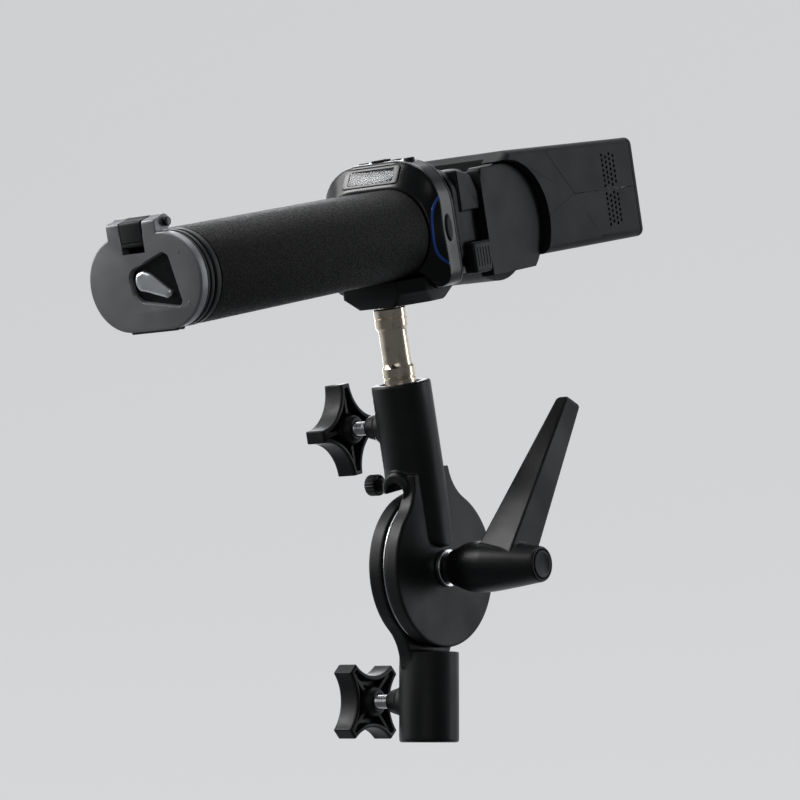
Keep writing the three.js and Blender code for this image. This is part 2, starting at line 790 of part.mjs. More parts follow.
function headBody() {
  const w = HEAD.w;
  const outer = prism(headOutline(0), -w, w, "x").intersect(
    prism(roundedBox(-w, w, -22, 28, 4), 0, HEAD.front, "y", 3),
  );
  const inner = prism(headOutline(WALL), WALL - w, w - WALL, "x").intersect(
    block([-w, w], [78, HEAD.front + 1], [-40, 40]),
  );
  const cheekSpace = [-1, 1].map((side) => {
    const x = side > 0 ? [NECK_X[0] - GAP, 40] : [-40, GAP - NECK_X[0]];
    return rod(CHEEK_R + 0.5, x[0], x[1], "x", FINE).translate([0, HEAD_AXIS.y, HEAD_AXIS.z]);
  });
  const axle = [0, HEAD_AXIS.y, HEAD_AXIS.z];
  const inside = NECK_X[0] - GAP;
  const tongue = rod(23.6, -inside, inside, "x", FINE).translate(axle);
  const behind = block([-40, 40], [0, HEAD_AXIS.y], [-60, 60]);
  const neckSweep = cut(
    rod(60, -inside, inside, "x", FINE).translate(axle).intersect(behind),
    tongue,
  );
  const shellOpen = block([WALL - w, w - WALL], [HEAD.front - 1, HEAD.front + 3], [-18.6, 21.6]);
  const wires = rod(8, 40, 90, "y");
  const axleHole = rod(5 + GAP, -40, 40, "x").translate([0, HEAD_AXIS.y, HEAD_AXIS.z]);
  return cut(join(outer, tongue), inner, ...cheekSpace, neckSweep, shellOpen, wires, axleHole);
}

// Everything below the side seam, in (y, z).
function belowSeam(spare) {
  const outline = polygon([
    [30, -60],
    [30, HEAD_AXIS.z - spare],
    [70, HEAD_AXIS.z - spare],
    [95.8, 3.6 - spare],
    [160, 1.4 - spare],
    [160, -60],
  ]);
  return prism(outline, -50, 50, "x");
}

function frontBezel() {
  const front = prism(roundedBox(-HEAD.w, HEAD.w, -21.1, 24, 4), HEAD.front + GAP, BEZEL_FRONT, "y", 3);
  const opening = block([-32, 32], [HEAD.front - 1, BEZEL_FRONT + 1], [-16.6, 19.6]);
  return cut(front, opening);
}

// Fresnel window: a thin plate with stepped ridges on its inner face.
function fresnelLens() {
  const plate = block([-31.7, 31.7], [HEAD.front + GAP, BEZEL_FRONT - 0.8], [-16.3, 19.3]);
  const [crest, foot] = [HEAD.front - 0.6, HEAD.front + 1];
  const ridges = [-12, -6, 0, 6, 12].map((z) =>
    prism(polygon([[crest, z + 1.6], [foot, z - 0.6], [foot, z + 3.8]]), -30, 30, "x"),
  );
  return join(plate, ...ridges);
}

function reflector() {
  const outer = [
    [104.6, -4],
    [104.6, 7],
    [121, 14.6],
    [122.2, 14.6],
  ];
  const inner = [
    [122.2, 13.4],
    [105.8, 6],
    [105.8, -3],
    [122.2, -10.4],
  ];
  const foot = [
    [122.2, -11.6],
    [121, -11.6],
  ];
  const trough = prism(polygon([...outer, ...inner, ...foot]), -28.2, 28.2, "x");
  const socketHole = rod(3.4, -40, 40, "x", SMALL).translate([0, 109, 1.5]);
  const walls = [27, -28.2].map((x) => {
    const wall = prism(polygon([...outer, ...foot]), x, x + 1.2, "x");
    return cut(wall, socketHole);
  });
  return join(trough, ...walls);
}

function flashTube() {
  return rod(2.2, -30.5, 30.5, "x", SMALL).translate([0, 109, 1.5]);
}

// Plate behind the reflector, with arms for the lamp's ends and lugs on the two shafts.
function zoomCarriage() {
  const body = block([-28, 28], [98.5, 104.2], [-16.4, 16]);
  const sides = [-1, 1].flatMap((side) => {
    const span = (near, far) => (side > 0 ? [near, far] : [-far, -near]);
    return [
      block(span(28.6, 32), [98.5, 116], [-4, 8]),
      block(span(27.9, 33.9), [98.5, 104.2], [-12.4, 8]),
    ];
  });
  const holes = [-1, 1].map((side) =>
    rod(ZOOM.rod + RUN, 90, 120, "y", SMALL).translate([side * ZOOM.x, 0, ZOOM.z]),
  );
  const tubeHole = rod(2.2 + GAP, -40, 40, "x", SMALL).translate([0, 109, 1.5]);
  return cut(join(body, ...sides), ...holes, tubeHole);
}

function zoomShaft(side) {
  const back = side > 0 ? ZOOM.back + 11 : ZOOM.back;
  return rod(ZOOM.rod, back, ZOOM.front, "y", SMALL).translate([side * ZOOM.x, 0, ZOOM.z]);
}

function zoomMotor() {
  const gearbox = block([22.6, 34.3], [92, 97], [-14.8, -4.6]);
  const can = rod(4.6, 79.4, 93, "y").translate([28, 0, -9.6]);
  const shaftHole = rod(ZOOM.rod + RUN, 94.6, 100, "y", SMALL).translate([ZOOM.x, 0, ZOOM.z]);
  return cut(join(gearbox, can), shaftHole);
}

// --- assembly -----------------------------------------------------------

function at(x, y, z, ...children) {
  const group = new THREE.Group();
  group.position.set(x, y, z);
  group.add(...children);
  return group;
}

// Knob, screw and pad of one clamp, turned about the screw's axis.
function clampSet(prefix, z, turn) {
  const group = at(
    0,
    0,
    z,
    mesh(`${prefix}_clamp_pad`, clampPad(), "brass"),
    mesh(`${prefix}_knob_screw`, knobScrew(), "steel"),
    mesh(`${prefix}_star_knob`, starKnob(), "knob"),
  );
  group.rotation.x = turn;
  return group;
}

function lowerHalf() {
  return at(
    0,
    0,
    0,
    mesh("lower_yoke", lowerYoke(), "bracket"),
    clampSet("lower", LOWER_KNOB_Z, 45 * DEG),
    at(
      0,
      0,
      HINGE_Z,
      mesh("hinge_nut", hingeNut(), "steel"),
      mesh("friction_washer", ringOf(DISC_R - 0.8, 8, WASHER[0], WASHER[1], "x", FINE), "steel"),
    ),
  );
}

function lever() {
  const ring = ringOf(8, 4 + GAP, UPPER_DISC[1] + GAP, 11.6, "x");
  return at(
    0,
    0,
    0,
    mesh("clamp_lever", clampLever(), "bracket"),
    mesh("lever_stud", leverStud(), "steel"),
    mesh("lever_washer", ring, "steel"),
    mesh("lever_end_cap", rod(6 - GAP, LEVER.end - 1.4 + GAP, LEVER.end + 0.2, "x"), "knob"),
  );
}

function batteryMagazine() {
  const cells = [];
  for (let tier = 0; tier < 2; tier += 1) {
    for (const [x, z] of [[-1, -1], [1, -1], [-1, 1], [1, 1]]) {
      const name = `battery_cell_${cells.length + 1}`;
      cells.push(mesh(name, cell(tier, x * CELL.x, z * CELL.z), "cell"));
    }
  }
  return at(0, 0, 0, mesh("magazine_frame", magazineFrame(), "matte"), ...cells);
}

function door() {
  const pin = rod(1.2, DOOR_PIN.x - 12.6, DOOR_PIN.x + 14.6, "x", SMALL);
  return at(
    0,
    0,
    0,
    mesh("battery_door", batteryDoor(), "door"),
    mesh("door_gasket", doorGasket(), "matte"),
    mesh("door_key", doorKey(), "key"),
    mesh("door_hinge_pin", pin.translate([0, DOOR_PIN.y, DOOR_PIN.z]), "gloss"),
  );
}

function collar() {
  const places = Object.entries(BUTTONS);
  const buttons = places.map(([name, place]) => mesh(name, panelButton(place), "matte"));
  return at(
    0,
    0,
    0,
    mesh("collar_shell", collarShell(), "gloss"),
    mesh("mounting_foot", mountingFoot(), "matte"),
    mesh("thread_insert", threadInsert(), "brass"),
    mesh("side_trim", sideTrim(), "blue"),
    mesh("side_button", sideOval(0, [29.2, 32.3]), "matte"),
    mesh("panel_glass", panelGlass(), "gloss"),
    mesh("lcd_module", lcdModule(), "matte"),
    mesh("control_dial", controlDial(), "matte"),
    mesh("main_board", mainBoard(), "board"),
    mesh("main_capacitor", mainCapacitor(), "matte"),
    ...buttons,
  );
}

function neck() {
  return at(
    0,
    0,
    0,
    mesh("neck_base", neckBase(), "matte"),
    mesh("swivel_ring", swivelRing(), "steel"),
    mesh("neck_fork", neckFork(), "matte"),
    mesh("latch_button", latchButton(), "gloss"),
    mesh("tilt_axle", tiltAxle(), "steel"),
  );
}

function head() {
  const shell = headBody();
  return at(
    0,
    0,
    0,
    mesh("head_top_shell", cut(shell, belowSeam(0)), "head"),
    mesh("head_bottom_shell", shell.intersect(belowSeam(GAP)), "head"),
    mesh("front_bezel", frontBezel(), "head"),
    mesh("fresnel_lens", fresnelLens(), "lens"),
    mesh("reflector", reflector(), "chrome"),
    mesh("flash_tube", flashTube(), "lens"),
    mesh("zoom_carriage", zoomCarriage(), "matte"),
    mesh("zoom_lead_screw", zoomShaft(1), "steel"),
    mesh("zoom_guide_rod", zoomShaft(-1), "steel"),
    mesh("zoom_motor", zoomMotor(), "steel"),
  );
}

function strobe() {
  return at(
    0,
    0,
    AXIS_Z,
    mesh("grip_shell", gripShell(), "matte"),
    mesh("grip_sleeve", gripSleeve(), "sleeve"),
    mesh("grip_end_ring", gripEndRing(), "gloss"),
    batteryMagazine(),
    door(),
    collar(),
    neck(),
    head(),
  );
}

function upperHalf() {
  const group = at(
    0,
    0,
    HINGE_Z,
    mesh("upper_yoke", upperYoke(), "bracket"),
    at(0, 0, UMBRELLA_Z, mesh("umbrella_thumbscrew", thumbscrew(), "knob")),
    mesh("spigot", spigot(), "chrome"),
    clampSet("upper", UPPER_KNOB_Z, 0),
    lever(),
    strobe(),
  );
  group.rotation.x = TILT;
  return group;
}

export default at(0, 0, -SOCKET_DEPTH, lowerHalf(), upperHalf());
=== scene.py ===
import math

import bmesh
import bpy
from mathutils import Matrix, Vector


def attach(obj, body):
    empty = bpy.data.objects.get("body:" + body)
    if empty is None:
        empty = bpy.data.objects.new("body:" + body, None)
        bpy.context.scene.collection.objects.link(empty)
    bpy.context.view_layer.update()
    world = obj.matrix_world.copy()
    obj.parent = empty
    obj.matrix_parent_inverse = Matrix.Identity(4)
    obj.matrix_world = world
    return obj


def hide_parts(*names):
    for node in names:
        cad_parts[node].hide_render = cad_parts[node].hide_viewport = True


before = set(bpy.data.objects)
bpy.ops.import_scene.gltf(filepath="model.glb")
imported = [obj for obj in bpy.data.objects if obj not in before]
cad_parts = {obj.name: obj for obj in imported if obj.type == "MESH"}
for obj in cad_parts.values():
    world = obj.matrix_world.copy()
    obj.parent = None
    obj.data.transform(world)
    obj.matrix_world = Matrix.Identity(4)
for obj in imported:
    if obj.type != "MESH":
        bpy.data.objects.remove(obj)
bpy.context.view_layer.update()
scene = bpy.context.scene

MM = 0.001
HINGE_Z = 74.0
AXIS_Z = 144.0  # the grip's axis above the hinge
TILT = math.radians(14)  # how far the upper half leans at rest
SOCKET_DEPTH = 33.0  # the origin is the lower socket's floor
LOWER = Matrix.Scale(MM, 4) @ Matrix.Translation((0, 0, -SOCKET_DEPTH))
UPPER = LOWER @ Matrix.Translation((0, 0, HINGE_Z)) @ Matrix.Rotation(TILT, 4, "X")
STROBE = UPPER @ Matrix.Translation((0, 0, AXIS_Z))
PANEL_TILT = 58.0  # how far the display's window leans back
EDGE_STEPS = 4  # rings in a rounded edge

# --- outlines: lists of (a, b), counter-clockwise ---


def arc(a, b, radius, start, end, steps, squeeze=1.0):
    """Points from angle start to end in degrees; squeeze scales the second coordinate."""
    points = []
    for k in range(steps + 1):
        t = math.radians(start + (end - start) * k / steps)
        points.append((a + radius * math.cos(t), b + radius * squeeze * math.sin(t)))
    return points


def circle(radius, sides, a=0.0, b=0.0, squeeze=1.0):
    return arc(a, b, radius, 0, 360, sides, squeeze)[:-1]


def stadium(w, h, steps=40):
    return arc(w - h, 0, h, -90, 90, steps) + arc(h - w, 0, h, 90, 270, steps)


def rounded_box(left, right, low, high, r, steps=10):
    points = arc(right - r, low + r, r, -90, 0, steps) + arc(right - r, high - r, r, 0, 90, steps)
    return points + arc(left + r, high - r, r, 90, 180, steps) + arc(left + r, low + r, r, 180, 270, steps)


def fillet(corners, radius, steps=6):
    """Rounds a polygon's corners; radius is one number, or one for each corner."""
    count = len(corners)
    radii = [radius] * count if isinstance(radius, (int, float)) else radius
    points = []
    for k, corner in enumerate(corners):
        here, before, after = (Vector(p) for p in (corner, corners[k - 1], corners[(k + 1) % count]))
        u, v = before - here, after - here
        half = u.angle(v) / 2
        reach = min(radii[k] / math.tan(half), u.length * 0.49, v.length * 0.49)
        if reach < 1e-3:
            points.append(tuple(here))
            continue
        start, end = here + u.normalized() * reach, here + v.normalized() * reach
        for j in range(steps + 1):
            t = j / steps
            points.append(tuple(start * (1 - t) ** 2 + here * 2 * t * (1 - t) + end * t * t))
    return points


def inset(outline, depth):
    """The outline moved inwards by depth; a negative depth grows it."""
    count = len(outline)
    moved = []
    for k in range(count):
        p, q, r = (Vector(outline[(k + d) % count]) for d in (-1, 0, 1))
        u, v = (q - p).normalized(), (r - q).normalized()
        n, m = Vector((-u.y, u.x)), Vector((-v.y, v.x))
        moved.append(tuple(q + (n + m) * (depth / max(1 + n.dot(m), 0.35))))
    return moved


# --- solids: temporary objects in millimetres ---

TO_AXIS = {
    "x": lambda a, b, along: (along, a, b),
    "y": lambda a, b, along: (a, along, b),
    "z": lambda a, b, along: (a, b, along),
}


def solid(vertices, faces):
    mesh = bpy.data.meshes.new("work")
    mesh.from_pydata(vertices, [], faces)
    bm = bmesh.new()
    bm.from_mesh(mesh)
    bmesh.ops.remove_doubles(bm, verts=bm.verts, dist=1e-5)
    bmesh.ops.recalc_face_normals(bm, faces=bm.faces)
    bm.to_mesh(mesh)
    bm.free()
    made = bpy.data.objects.new("work", mesh)
    scene.collection.objects.link(made)
    return made


def loft(rings, capped=True):
    """Skins rings of equally many points; uncapped rings close on themselves instead."""
    size = len(rings[0])
    vertices = [p for ring in rings for p in ring]
    faces = []
    for n in range(len(rings) - 1 if capped else len(rings)):
        low, high = n * size, (n + 1) % len(rings) * size
        faces += [(low + k, low + (k + 1) % size, high + (k + 1) % size, high + k) for k in range(size)]
    if capped:
        faces += [list(range(size))[::-1], list(range(len(vertices) - size, len(vertices)))]
    return solid(vertices, faces)


def prism(outline, start, end, axis="y", edge=0.0, edges=None, steps=EDGE_STEPS):
    """A flat outline pushed along an axis, with rounded rims: edge, or (start rim, end rim)."""
    place = TO_AXIS[axis]
    first, last = edges or (edge, edge)
    rings = []
    for r, here, way in ((first, start, 1), (last, end, -1)):
        part = []
        for k in range(steps + 1 if r else 1):
            t = k / steps * math.pi / 2
            part.append((r * (1 - math.sin(t)), here + way * r * (1 - math.cos(t))))
        rings += part if way > 0 else part[::-1]
    return loft([[place(a, b, along) for a, b in inset(outline, depth)] for depth, along in rings])


def lathe(profile, axis, sides=96):
    """A turned solid from (radius, place along the axis) pairs that start and end at radius 0."""
    place = TO_AXIS[axis]
    turned = [circle(max(r, 1e-7), sides) for r, _ in profile]
    rings = [[place(a, b, along) for a, b in ring] for ring, (_, along) in zip(turned, profile)]
    return loft(rings)


def span(way, near, far):
    """The range near to far on the side that way (1 or -1) names."""
    return sorted((way * near, way * far))


def rod(r, start, end, axis, sides=64, edge=0.0):
    if not edge:
        return lathe([(0, start), (r, start), (r, end), (0, end)], axis, sides)
    profile = [(0, start)]
    profile += [(r - edge + edge * math.sin(t), start + edge * (1 - math.cos(t))) for t in quarter()]
    profile += [(r - edge + edge * math.sin(t), end - edge * (1 - math.cos(t))) for t in quarter()[::-1]]
    return lathe(profile + [(0, end)], axis, sides)


def quarter():
    return [k / EDGE_STEPS * math.pi / 2 for k in range(EDGE_STEPS + 1)]


def knurled(radius, depth, grips, steps):
    """A circle with a row of shallow grips, steps points for each."""
    points = []
    for k in range(grips * steps):
        t = 2 * math.pi * k / (grips * steps)
        reach = radius + depth * math.cos(grips * t)
        points.append((reach * math.cos(t), reach * math.sin(t)))
    return points


def thread(first, second, start, pitch, turns):
    """A lathe profile that swings between two radii, once a turn."""
    profile = []
    for k in range(turns):
        here = start + k * pitch
        profile += [(first, here), (second, here + pitch / 2)]
    return profile


def tube(outer, inner, start, end, axis, sides=96, edge=0.0):
    return cut(rod(outer, start, end, axis, sides, edge), rod(inner, start - 1, end + 1, axis, sides))


def block(x, y, z, edge=0.0):
    corners = [(x[0], y[0]), (x[1], y[0]), (x[1], y[1]), (x[0], y[1])]
    if edge:
        corners = fillet(corners, edge, EDGE_STEPS)
    return prism(corners, z[0], z[1], "z", edge)


def moved(made, x=0.0, y=0.0, z=0.0, turn=0.0, about="X"):
    """The solid turned about an axis through the origin, then moved."""
    made.data.transform(Matrix.Translation((x, y, z)) @ Matrix.Rotation(math.radians(turn), 4, about))
    return made


def settle(made):
    """Applies a solid's modifiers."""
    graph = bpy.context.evaluated_depsgraph_get()
    fresh = bpy.data.meshes.new_from_object(made.evaluated_get(graph))
    made.modifiers.clear()
    made.data = fresh
    return made


def combine(made, operation, tools):
    for tool in tools:
        step = made.modifiers.new("combine", "BOOLEAN")
        step.operation = operation
        step.solver = "MANIFOLD"
        step.object = tool
    settle(made)
    for tool in tools:
        bpy.data.objects.remove(tool)
    return made


def join(made, *tools):
    return combine(made, "UNION", tools)


def cut(made, *tools):
    return combine(made, "DIFFERENCE", tools)


def common(made, *tools):
    return combine(made, "INTERSECT", tools)


def bundle(solids):
    """Separate solids as one object, to cut or add in one step."""
    first = solids[0]
    bm = bmesh.new()
    for item in solids:
        bm.from_mesh(item.data)
    bm.to_mesh(first.data)
    bm.free()
    for item in solids[1:]:
        bpy.data.objects.remove(item)
    return first


def soften(made, voxel, passes, factor=0.5):
    """Rebuilds the skin in even quads and rounds its edges, as on a casting."""
    grid = made.modifiers.new("grid", "REMESH")
    grid.mode = "VOXEL"
    grid.voxel_size = voxel
    smooth = made.modifiers.new("smooth", "SMOOTH")
    smooth.factor = factor
    smooth.iterations = passes
    return settle(made)


def place(made, name, body, finish, where, nodes=(), sharp=38, slot=None):
    """Turns a solid into a finished piece on a body; the slot, the finish's unless given, is worked out but
    not given to the piece.
    """
    made.name = name
    made.data.name = name
    made.data.transform(where)
    made.data.shade_smooth()
    made.data.set_sharp_from_angle(angle=math.radians(sharp))
    made.data.materials.clear()
    made.data.materials.append(finish)
    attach(made, body)
    if nodes:
        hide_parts(*nodes)
    # The frame has materials of the same names, so Blender may add a number to these.
    slot or finish.name.split(".")[0]


# --- materials ---


class Finish:
    """A procedural surface: colours, roughness and bump laid in one after another."""

    def __init__(self, name, colour, rough, metal=0.0, specular=0.5, tilt=0.0, more=()):
        self.material = bpy.data.materials.new(name)
        self.material.use_nodes = True
        self.tree = self.material.node_tree
        self.shader = self.tree.nodes["Principled BSDF"]
        base = {"Base Color": (*colour, 1), "Roughness": rough, "Metallic": metal}
        for key, value in {**base, "Specular IOR Level": specular, **dict(more)}.items():
            self.shader.inputs[key].default_value = value
        self.colour, self.rough, self.normal = (*colour, 1), rough, None
        self.place = self.node("Mapping")
        self.place.inputs["Rotation"].default_value = (-tilt, 0, 0)
        self.link(self.node("TexCoord").outputs["Object"], self.place.inputs["Vector"])

    def node(self, kind, **settings):
        made = self.tree.nodes.new("ShaderNode" + kind)
        for key, value in settings.items():
            setattr(made, key, value)
        return made

    def link(self, source, target):
        self.tree.links.new(source, target)

    def feed(self, target, value):
        if hasattr(value, "is_linked"):
            self.link(value, target)
        else:
            target.default_value = value

    def stretched(self, stretch):
        scaled = self.node("Mapping")
        scaled.inputs["Scale"].default_value = stretch
        self.link(self.place.outputs["Vector"], scaled.inputs["Vector"])
        return scaled.outputs["Vector"]

    def noise(self, scale, detail=3.0, stretch=(1, 1, 1)):
        made = self.node("TexNoise")
        made.inputs["Scale"].default_value = scale
        made.inputs["Detail"].default_value = detail
        self.link(self.stretched(stretch), made.inputs["Vector"])
        return made.outputs["Fac"]

    def cells(self, scale, feature="F1"):
        made = self.node("TexVoronoi", feature=feature)
        made.inputs["Scale"].default_value = scale
        self.link(self.place.outputs["Vector"], made.inputs["Vector"])
        return made.outputs["Distance"]

    def spread(self, source, low, high, start=0.0, end=1.0):
        made = self.node("MapRange")
        for key, value in (("From Min", low), ("From Max", high), ("To Min", start), ("To Max", end)):
            made.inputs[key].default_value = value
        self.link(source, made.inputs["Value"])
        return made.outputs["Result"]

    def patches(self, scale, detail, low, high, start=0.0, end=1.0):
        """A cloudy mask."""
        return self.spread(self.noise(scale, detail), low, high, start, end)

    def tint(self, mask, colour):
        """Blends a colour in where the mask is 1."""
        mix = self.node("Mix", data_type="RGBA")
        self.feed(mix.inputs["Factor"], mask)
        self.feed(mix.inputs[6], self.colour)
        mix.inputs[7].default_value = (*colour, 1)
        self.colour = mix.outputs[2]
        self.link(self.colour, self.shader.inputs["Base Color"])
        return self

    def roughen(self, mask, rough):
        """Moves the roughness to a value where the mask is 1."""
        mix = self.node("Mix", data_type="FLOAT")
        self.feed(mix.inputs[0], mask)
        self.feed(mix.inputs[2], self.rough)
        mix.inputs[3].default_value = rough
        self.rough = mix.outputs[0]
        self.link(self.rough, self.shader.inputs["Roughness"])
        return self

    def soften(self, radius):
        """Rounds the look of sharp edges, radius in millimetres."""
        made = self.node("Bevel", samples=4)
        made.inputs["Radius"].default_value = radius * MM
        self.normal = made.outputs["Normal"]
        self.link(self.normal, self.shader.inputs["Normal"])
        return self

    def bump(self, height, depth, strength=1.0):
        """Raises the surface by a height map, depth in millimetres."""
        made = self.node("Bump")
        made.inputs["Strength"].default_value = strength
        made.inputs["Distance"].default_value = depth * MM
        self.link(height, made.inputs["Height"])
        if self.normal:
            self.link(self.normal, made.inputs["Normal"])
        self.normal = made.outputs["Normal"]
        self.link(self.normal, self.shader.inputs["Normal"])
        return self

    def edges(self, radius, low=0.02, high=0.25):
        """A mask that is 1 along worn outer edges and 0 on flat faces."""
        made = self.node("Bevel", samples=4)
        made.inputs["Radius"].default_value = radius * MM
        flat = self.node("NewGeometry")
        dot = self.node("VectorMath", operation="DOT_PRODUCT")
        self.link(made.outputs["Normal"], dot.inputs[0])
        self.link(flat.outputs["Normal"], dot.inputs[1])
        turned = self.spread(dot.outputs["Value"], 1 - low, 1 - high)
        patchy = self.patches(260, 4, 0.45, 0.62)
        both = self.node("Math", operation="MULTIPLY")
        self.link(turned, both.inputs[0])
        self.link(patchy, both.inputs[1])
        return both.outputs[0]

    def dusty(self, colour, amount):
        """Faint dust and handling marks: lighter clouds."""
        return self.tint(self.patches(55, 5, 0.48, 0.75, 0, amount), colour)


def metal(name, colour, rough, stretch=(1, 1, 1), lines=900, depth=0.012, tilt=0.0):
    """Bare metal with fine machining lines and slightly uneven polish."""
    f = Finish(name, colour, rough, metal=1.0, tilt=tilt)
    f.roughen(f.patches(120, 4, 0.35, 0.7), min(rough + 0.16, 1))
    f.tint(f.patches(240, 4, 0.52, 0.8), tuple(c * 0.55 for c in colour))
    f.bump(f.noise(lines, 2, stretch), depth, 0.6)
    return f.material


f = Finish("bracket_paint", (0.0062, 0.0068, 0.0076), 0.38, specular=0.28)
f.dusty((0.03, 0.031, 0.033), 0.2)
f.roughen(f.patches(34, 4, 0.4, 0.7), 0.52)
f.tint(f.edges(0.5, 0.05, 0.35), (0.16, 0.155, 0.15))
f.bump(f.noise(2600, 2), 0.035, 0.8)
f.bump(f.noise(700, 3), 0.03, 0.5)
PAINT = f.material

f = Finish("knob_plastic", (0.0062, 0.0068, 0.0076), 0.4, specular=0.28)
f.dusty((0.028, 0.029, 0.03), 0.2)
f.roughen(f.patches(90, 3, 0.42, 0.62), 0.55)
f.bump(f.noise(1800, 3), 0.02, 0.7)
KNOB = f.material

STEEL = metal("steel", (0.68, 0.69, 0.71), 0.24)
SCREW = metal("screw_steel", (0.74, 0.75, 0.77), 0.2, (0.05, 1, 1))
BRASS = metal("brass", (0.62, 0.42, 0.17), 0.26)
# The spigot's warm tint is a painted reflection of warm surroundings on the chrome.
CHROME = metal("spigot_chrome", (0.84, 0.74, 0.6), 0.14, (1, 1, 14), 260, 0.01, TILT)

f = Finish("grip_cover", (0.0036, 0.0037, 0.0038), 0.5, specular=0.18, tilt=TILT)
grain = f.cells(1150)
f.tint(f.spread(grain, 0.25, 0.0), (0.007, 0.0072, 0.0074))
f.roughen(f.spread(grain, 0.2, 0.6), 0.72)
f.dusty((0.02, 0.02, 0.021), 0.08)
f.bump(f.spread(grain, 0.0, 0.75, 1, 0), 0.16, 0.75)
f.bump(f.noise(420, 4), 0.1, 0.35)
SLEEVE_SKIN = f.material

f = Finish("body_matte", (0.0062, 0.007, 0.0082), 0.44, specular=0.24, tilt=TILT)
f.dusty((0.018, 0.02, 0.022), 0.06)
f.roughen(f.patches(70, 3, 0.4, 0.65), 0.5)
f.soften(0.35)
f.bump(f.noise(2200, 2), 0.022, 0.7)
MATTE = f.material

more = {"Coat Weight": 0.12, "Coat Roughness": 0.16}
f = Finish("body_gloss", (0.0036, 0.004, 0.0046), 0.22, specular=0.26, tilt=TILT, more=more)
f.roughen(f.patches(60, 5, 0.5, 0.8), 0.36)
f.tint(f.patches(1400, 1, 0.76, 0.82, 0, 0.2), (0.04, 0.04, 0.042))
f.soften(0.3)
f.bump(f.noise(260, 2), 0.02, 0.25)
GLOSS = f.material

f = Finish("rubber", (0.009, 0.009, 0.0095), 0.62)
f.dusty((0.05, 0.05, 0.05), 0.3)
f.bump(f.noise(900, 3), 0.03, 0.6)
RUBBER = f.material

f = Finish("head_plastic", (0.0072, 0.008, 0.0086), 0.5, specular=0.24, tilt=TILT)
f.dusty((0.018, 0.02, 0.022), 0.05)
f.roughen(f.patches(85, 3, 0.38, 0.66), 0.55)
f.soften(0.3)
f.bump(f.cells(1500), 0.05, 0.45)
f.bump(f.noise(3200, 2), 0.02, 0.5)
HEAD = f.material

f = Finish("door_satin", (0.2, 0.206, 0.217), 0.36, metal=0.4, tilt=TILT)
f.tint(f.patches(48, 4, 0.5, 0.75, 0, 0.35), (0.27, 0.277, 0.288))
f.roughen(f.patches(150, 4, 0.4, 0.7), 0.5)
f.tint(f.edges(0.4, 0.04, 0.3), (0.5, 0.5, 0.5))
f.bump(f.noise(2400, 2), 0.016, 0.6)
DOOR = f.material

f = Finish("key_metal", (0.86, 0.88, 0.9), 0.3, metal=1.0, tilt=TILT)
f.roughen(f.patches(130, 4, 0.45, 0.7), 0.26)
f.tint(f.patches(90, 3, 0.55, 0.8), (0.55, 0.56, 0.58))
f.bump(f.noise(160, 2, (1, 6, 1)), 0.03, 0.3)
KEY = f.material

more = {"Coat Weight": 0.15}
f = Finish("trim_blue", (0.012, 0.06, 0.28), 0.34, specular=0.3, tilt=TILT, more=more)
f.tint(f.patches(220, 3, 0.4, 0.7, 0, 0.5), (0.02, 0.1, 0.4))
f.bump(f.noise(500, 2), 0.01, 0.3)
BLUE = f.material

more = {"Transmission Weight": 0.72, "IOR": 1.46}
f = Finish("lens_plastic", (0.86, 0.9, 0.93), 0.16, tilt=TILT, more=more)
f.roughen(f.patches(420, 3, 0.42, 0.65), 0.22)
f.bump(f.noise(1500, 2), 0.02, 0.4)
LENS = f.material

more = {"Transmission Weight": 0.92, "IOR": 1.3}
f = Finish("clear_glass", (0.3, 0.33, 0.35), 0.05, more=more)
f.roughen(f.patches(300, 4, 0.58, 0.75), 0.12)
GLASS = f.material

more = {"Transmission Weight": 0.75}
f = Finish("flash_glass", (0.93, 0.92, 0.88), 0.05, more=more)
f.tint(f.patches(40, 2, 0.45, 0.7, 0, 0.5), (0.8, 0.72, 0.55))
f.bump(f.noise(600, 2), 0.01, 0.2)
TUBE = f.material

# A dark display, switched off, with a faint grid of dots.
f = Finish("display", (0.03, 0.035, 0.034), 0.3, tilt=TILT - math.radians(PANEL_TILT))
grid = f.cells(2200)
f.tint(f.spread(grid, 0.1, 0.5, 0, 0.35), (0.018, 0.021, 0.02))
f.roughen(f.patches(60, 3, 0.4, 0.7), 0.45)
f.bump(grid, 0.008, 0.3)
SCREEN = f.material

f = Finish("circuit_board", (0.012, 0.09, 0.035), 0.4, tilt=TILT)
tracks = f.cells(240, "DISTANCE_TO_EDGE")
f.tint(f.spread(tracks, 0.05, 0.02), (0.03, 0.19, 0.08))
f.tint(f.spread(f.cells(420), 0.16, 0.1), (0.55, 0.5, 0.4))
f.bump(tracks, 0.05, 0.4)
BOARD = f.material

f = Finish("cell_wrap", (0.03, 0.13, 0.09), 0.3, metal=0.3, tilt=TILT)
f.tint(f.spread(f.noise(60, 2, (0.1, 1, 0.1)), 0.5, 0.56), (0.4, 0.42, 0.4))
f.roughen(f.patches(180, 3, 0.4, 0.7), 0.42)
f.bump(f.noise(700, 2), 0.01, 0.3)
CELL = f.material

f = Finish("mirror", (0.9, 0.9, 0.89), 0.08, metal=1.0, tilt=TILT)
f.roughen(f.patches(200, 3, 0.5, 0.7), 0.2)
f.bump(f.noise(300, 2), 0.02, 0.3)
MIRROR = f.material

# --- bracket ---

TUBE_R = 12.8
SOCKET_R = 8.1
PIVOT_R = 4.3
SKIN = 0.42  # voxel of the castings' skin
DISC_R = 33.8
SHOULDER_R = 20.0
UMBRELLA_Z = 37.5
LOWER_KNOB_Z = 17.5
UPPER_KNOB_Z = 62.5
FAR_SIDE = 35.5  # where the tube's full round starts, from the hinge


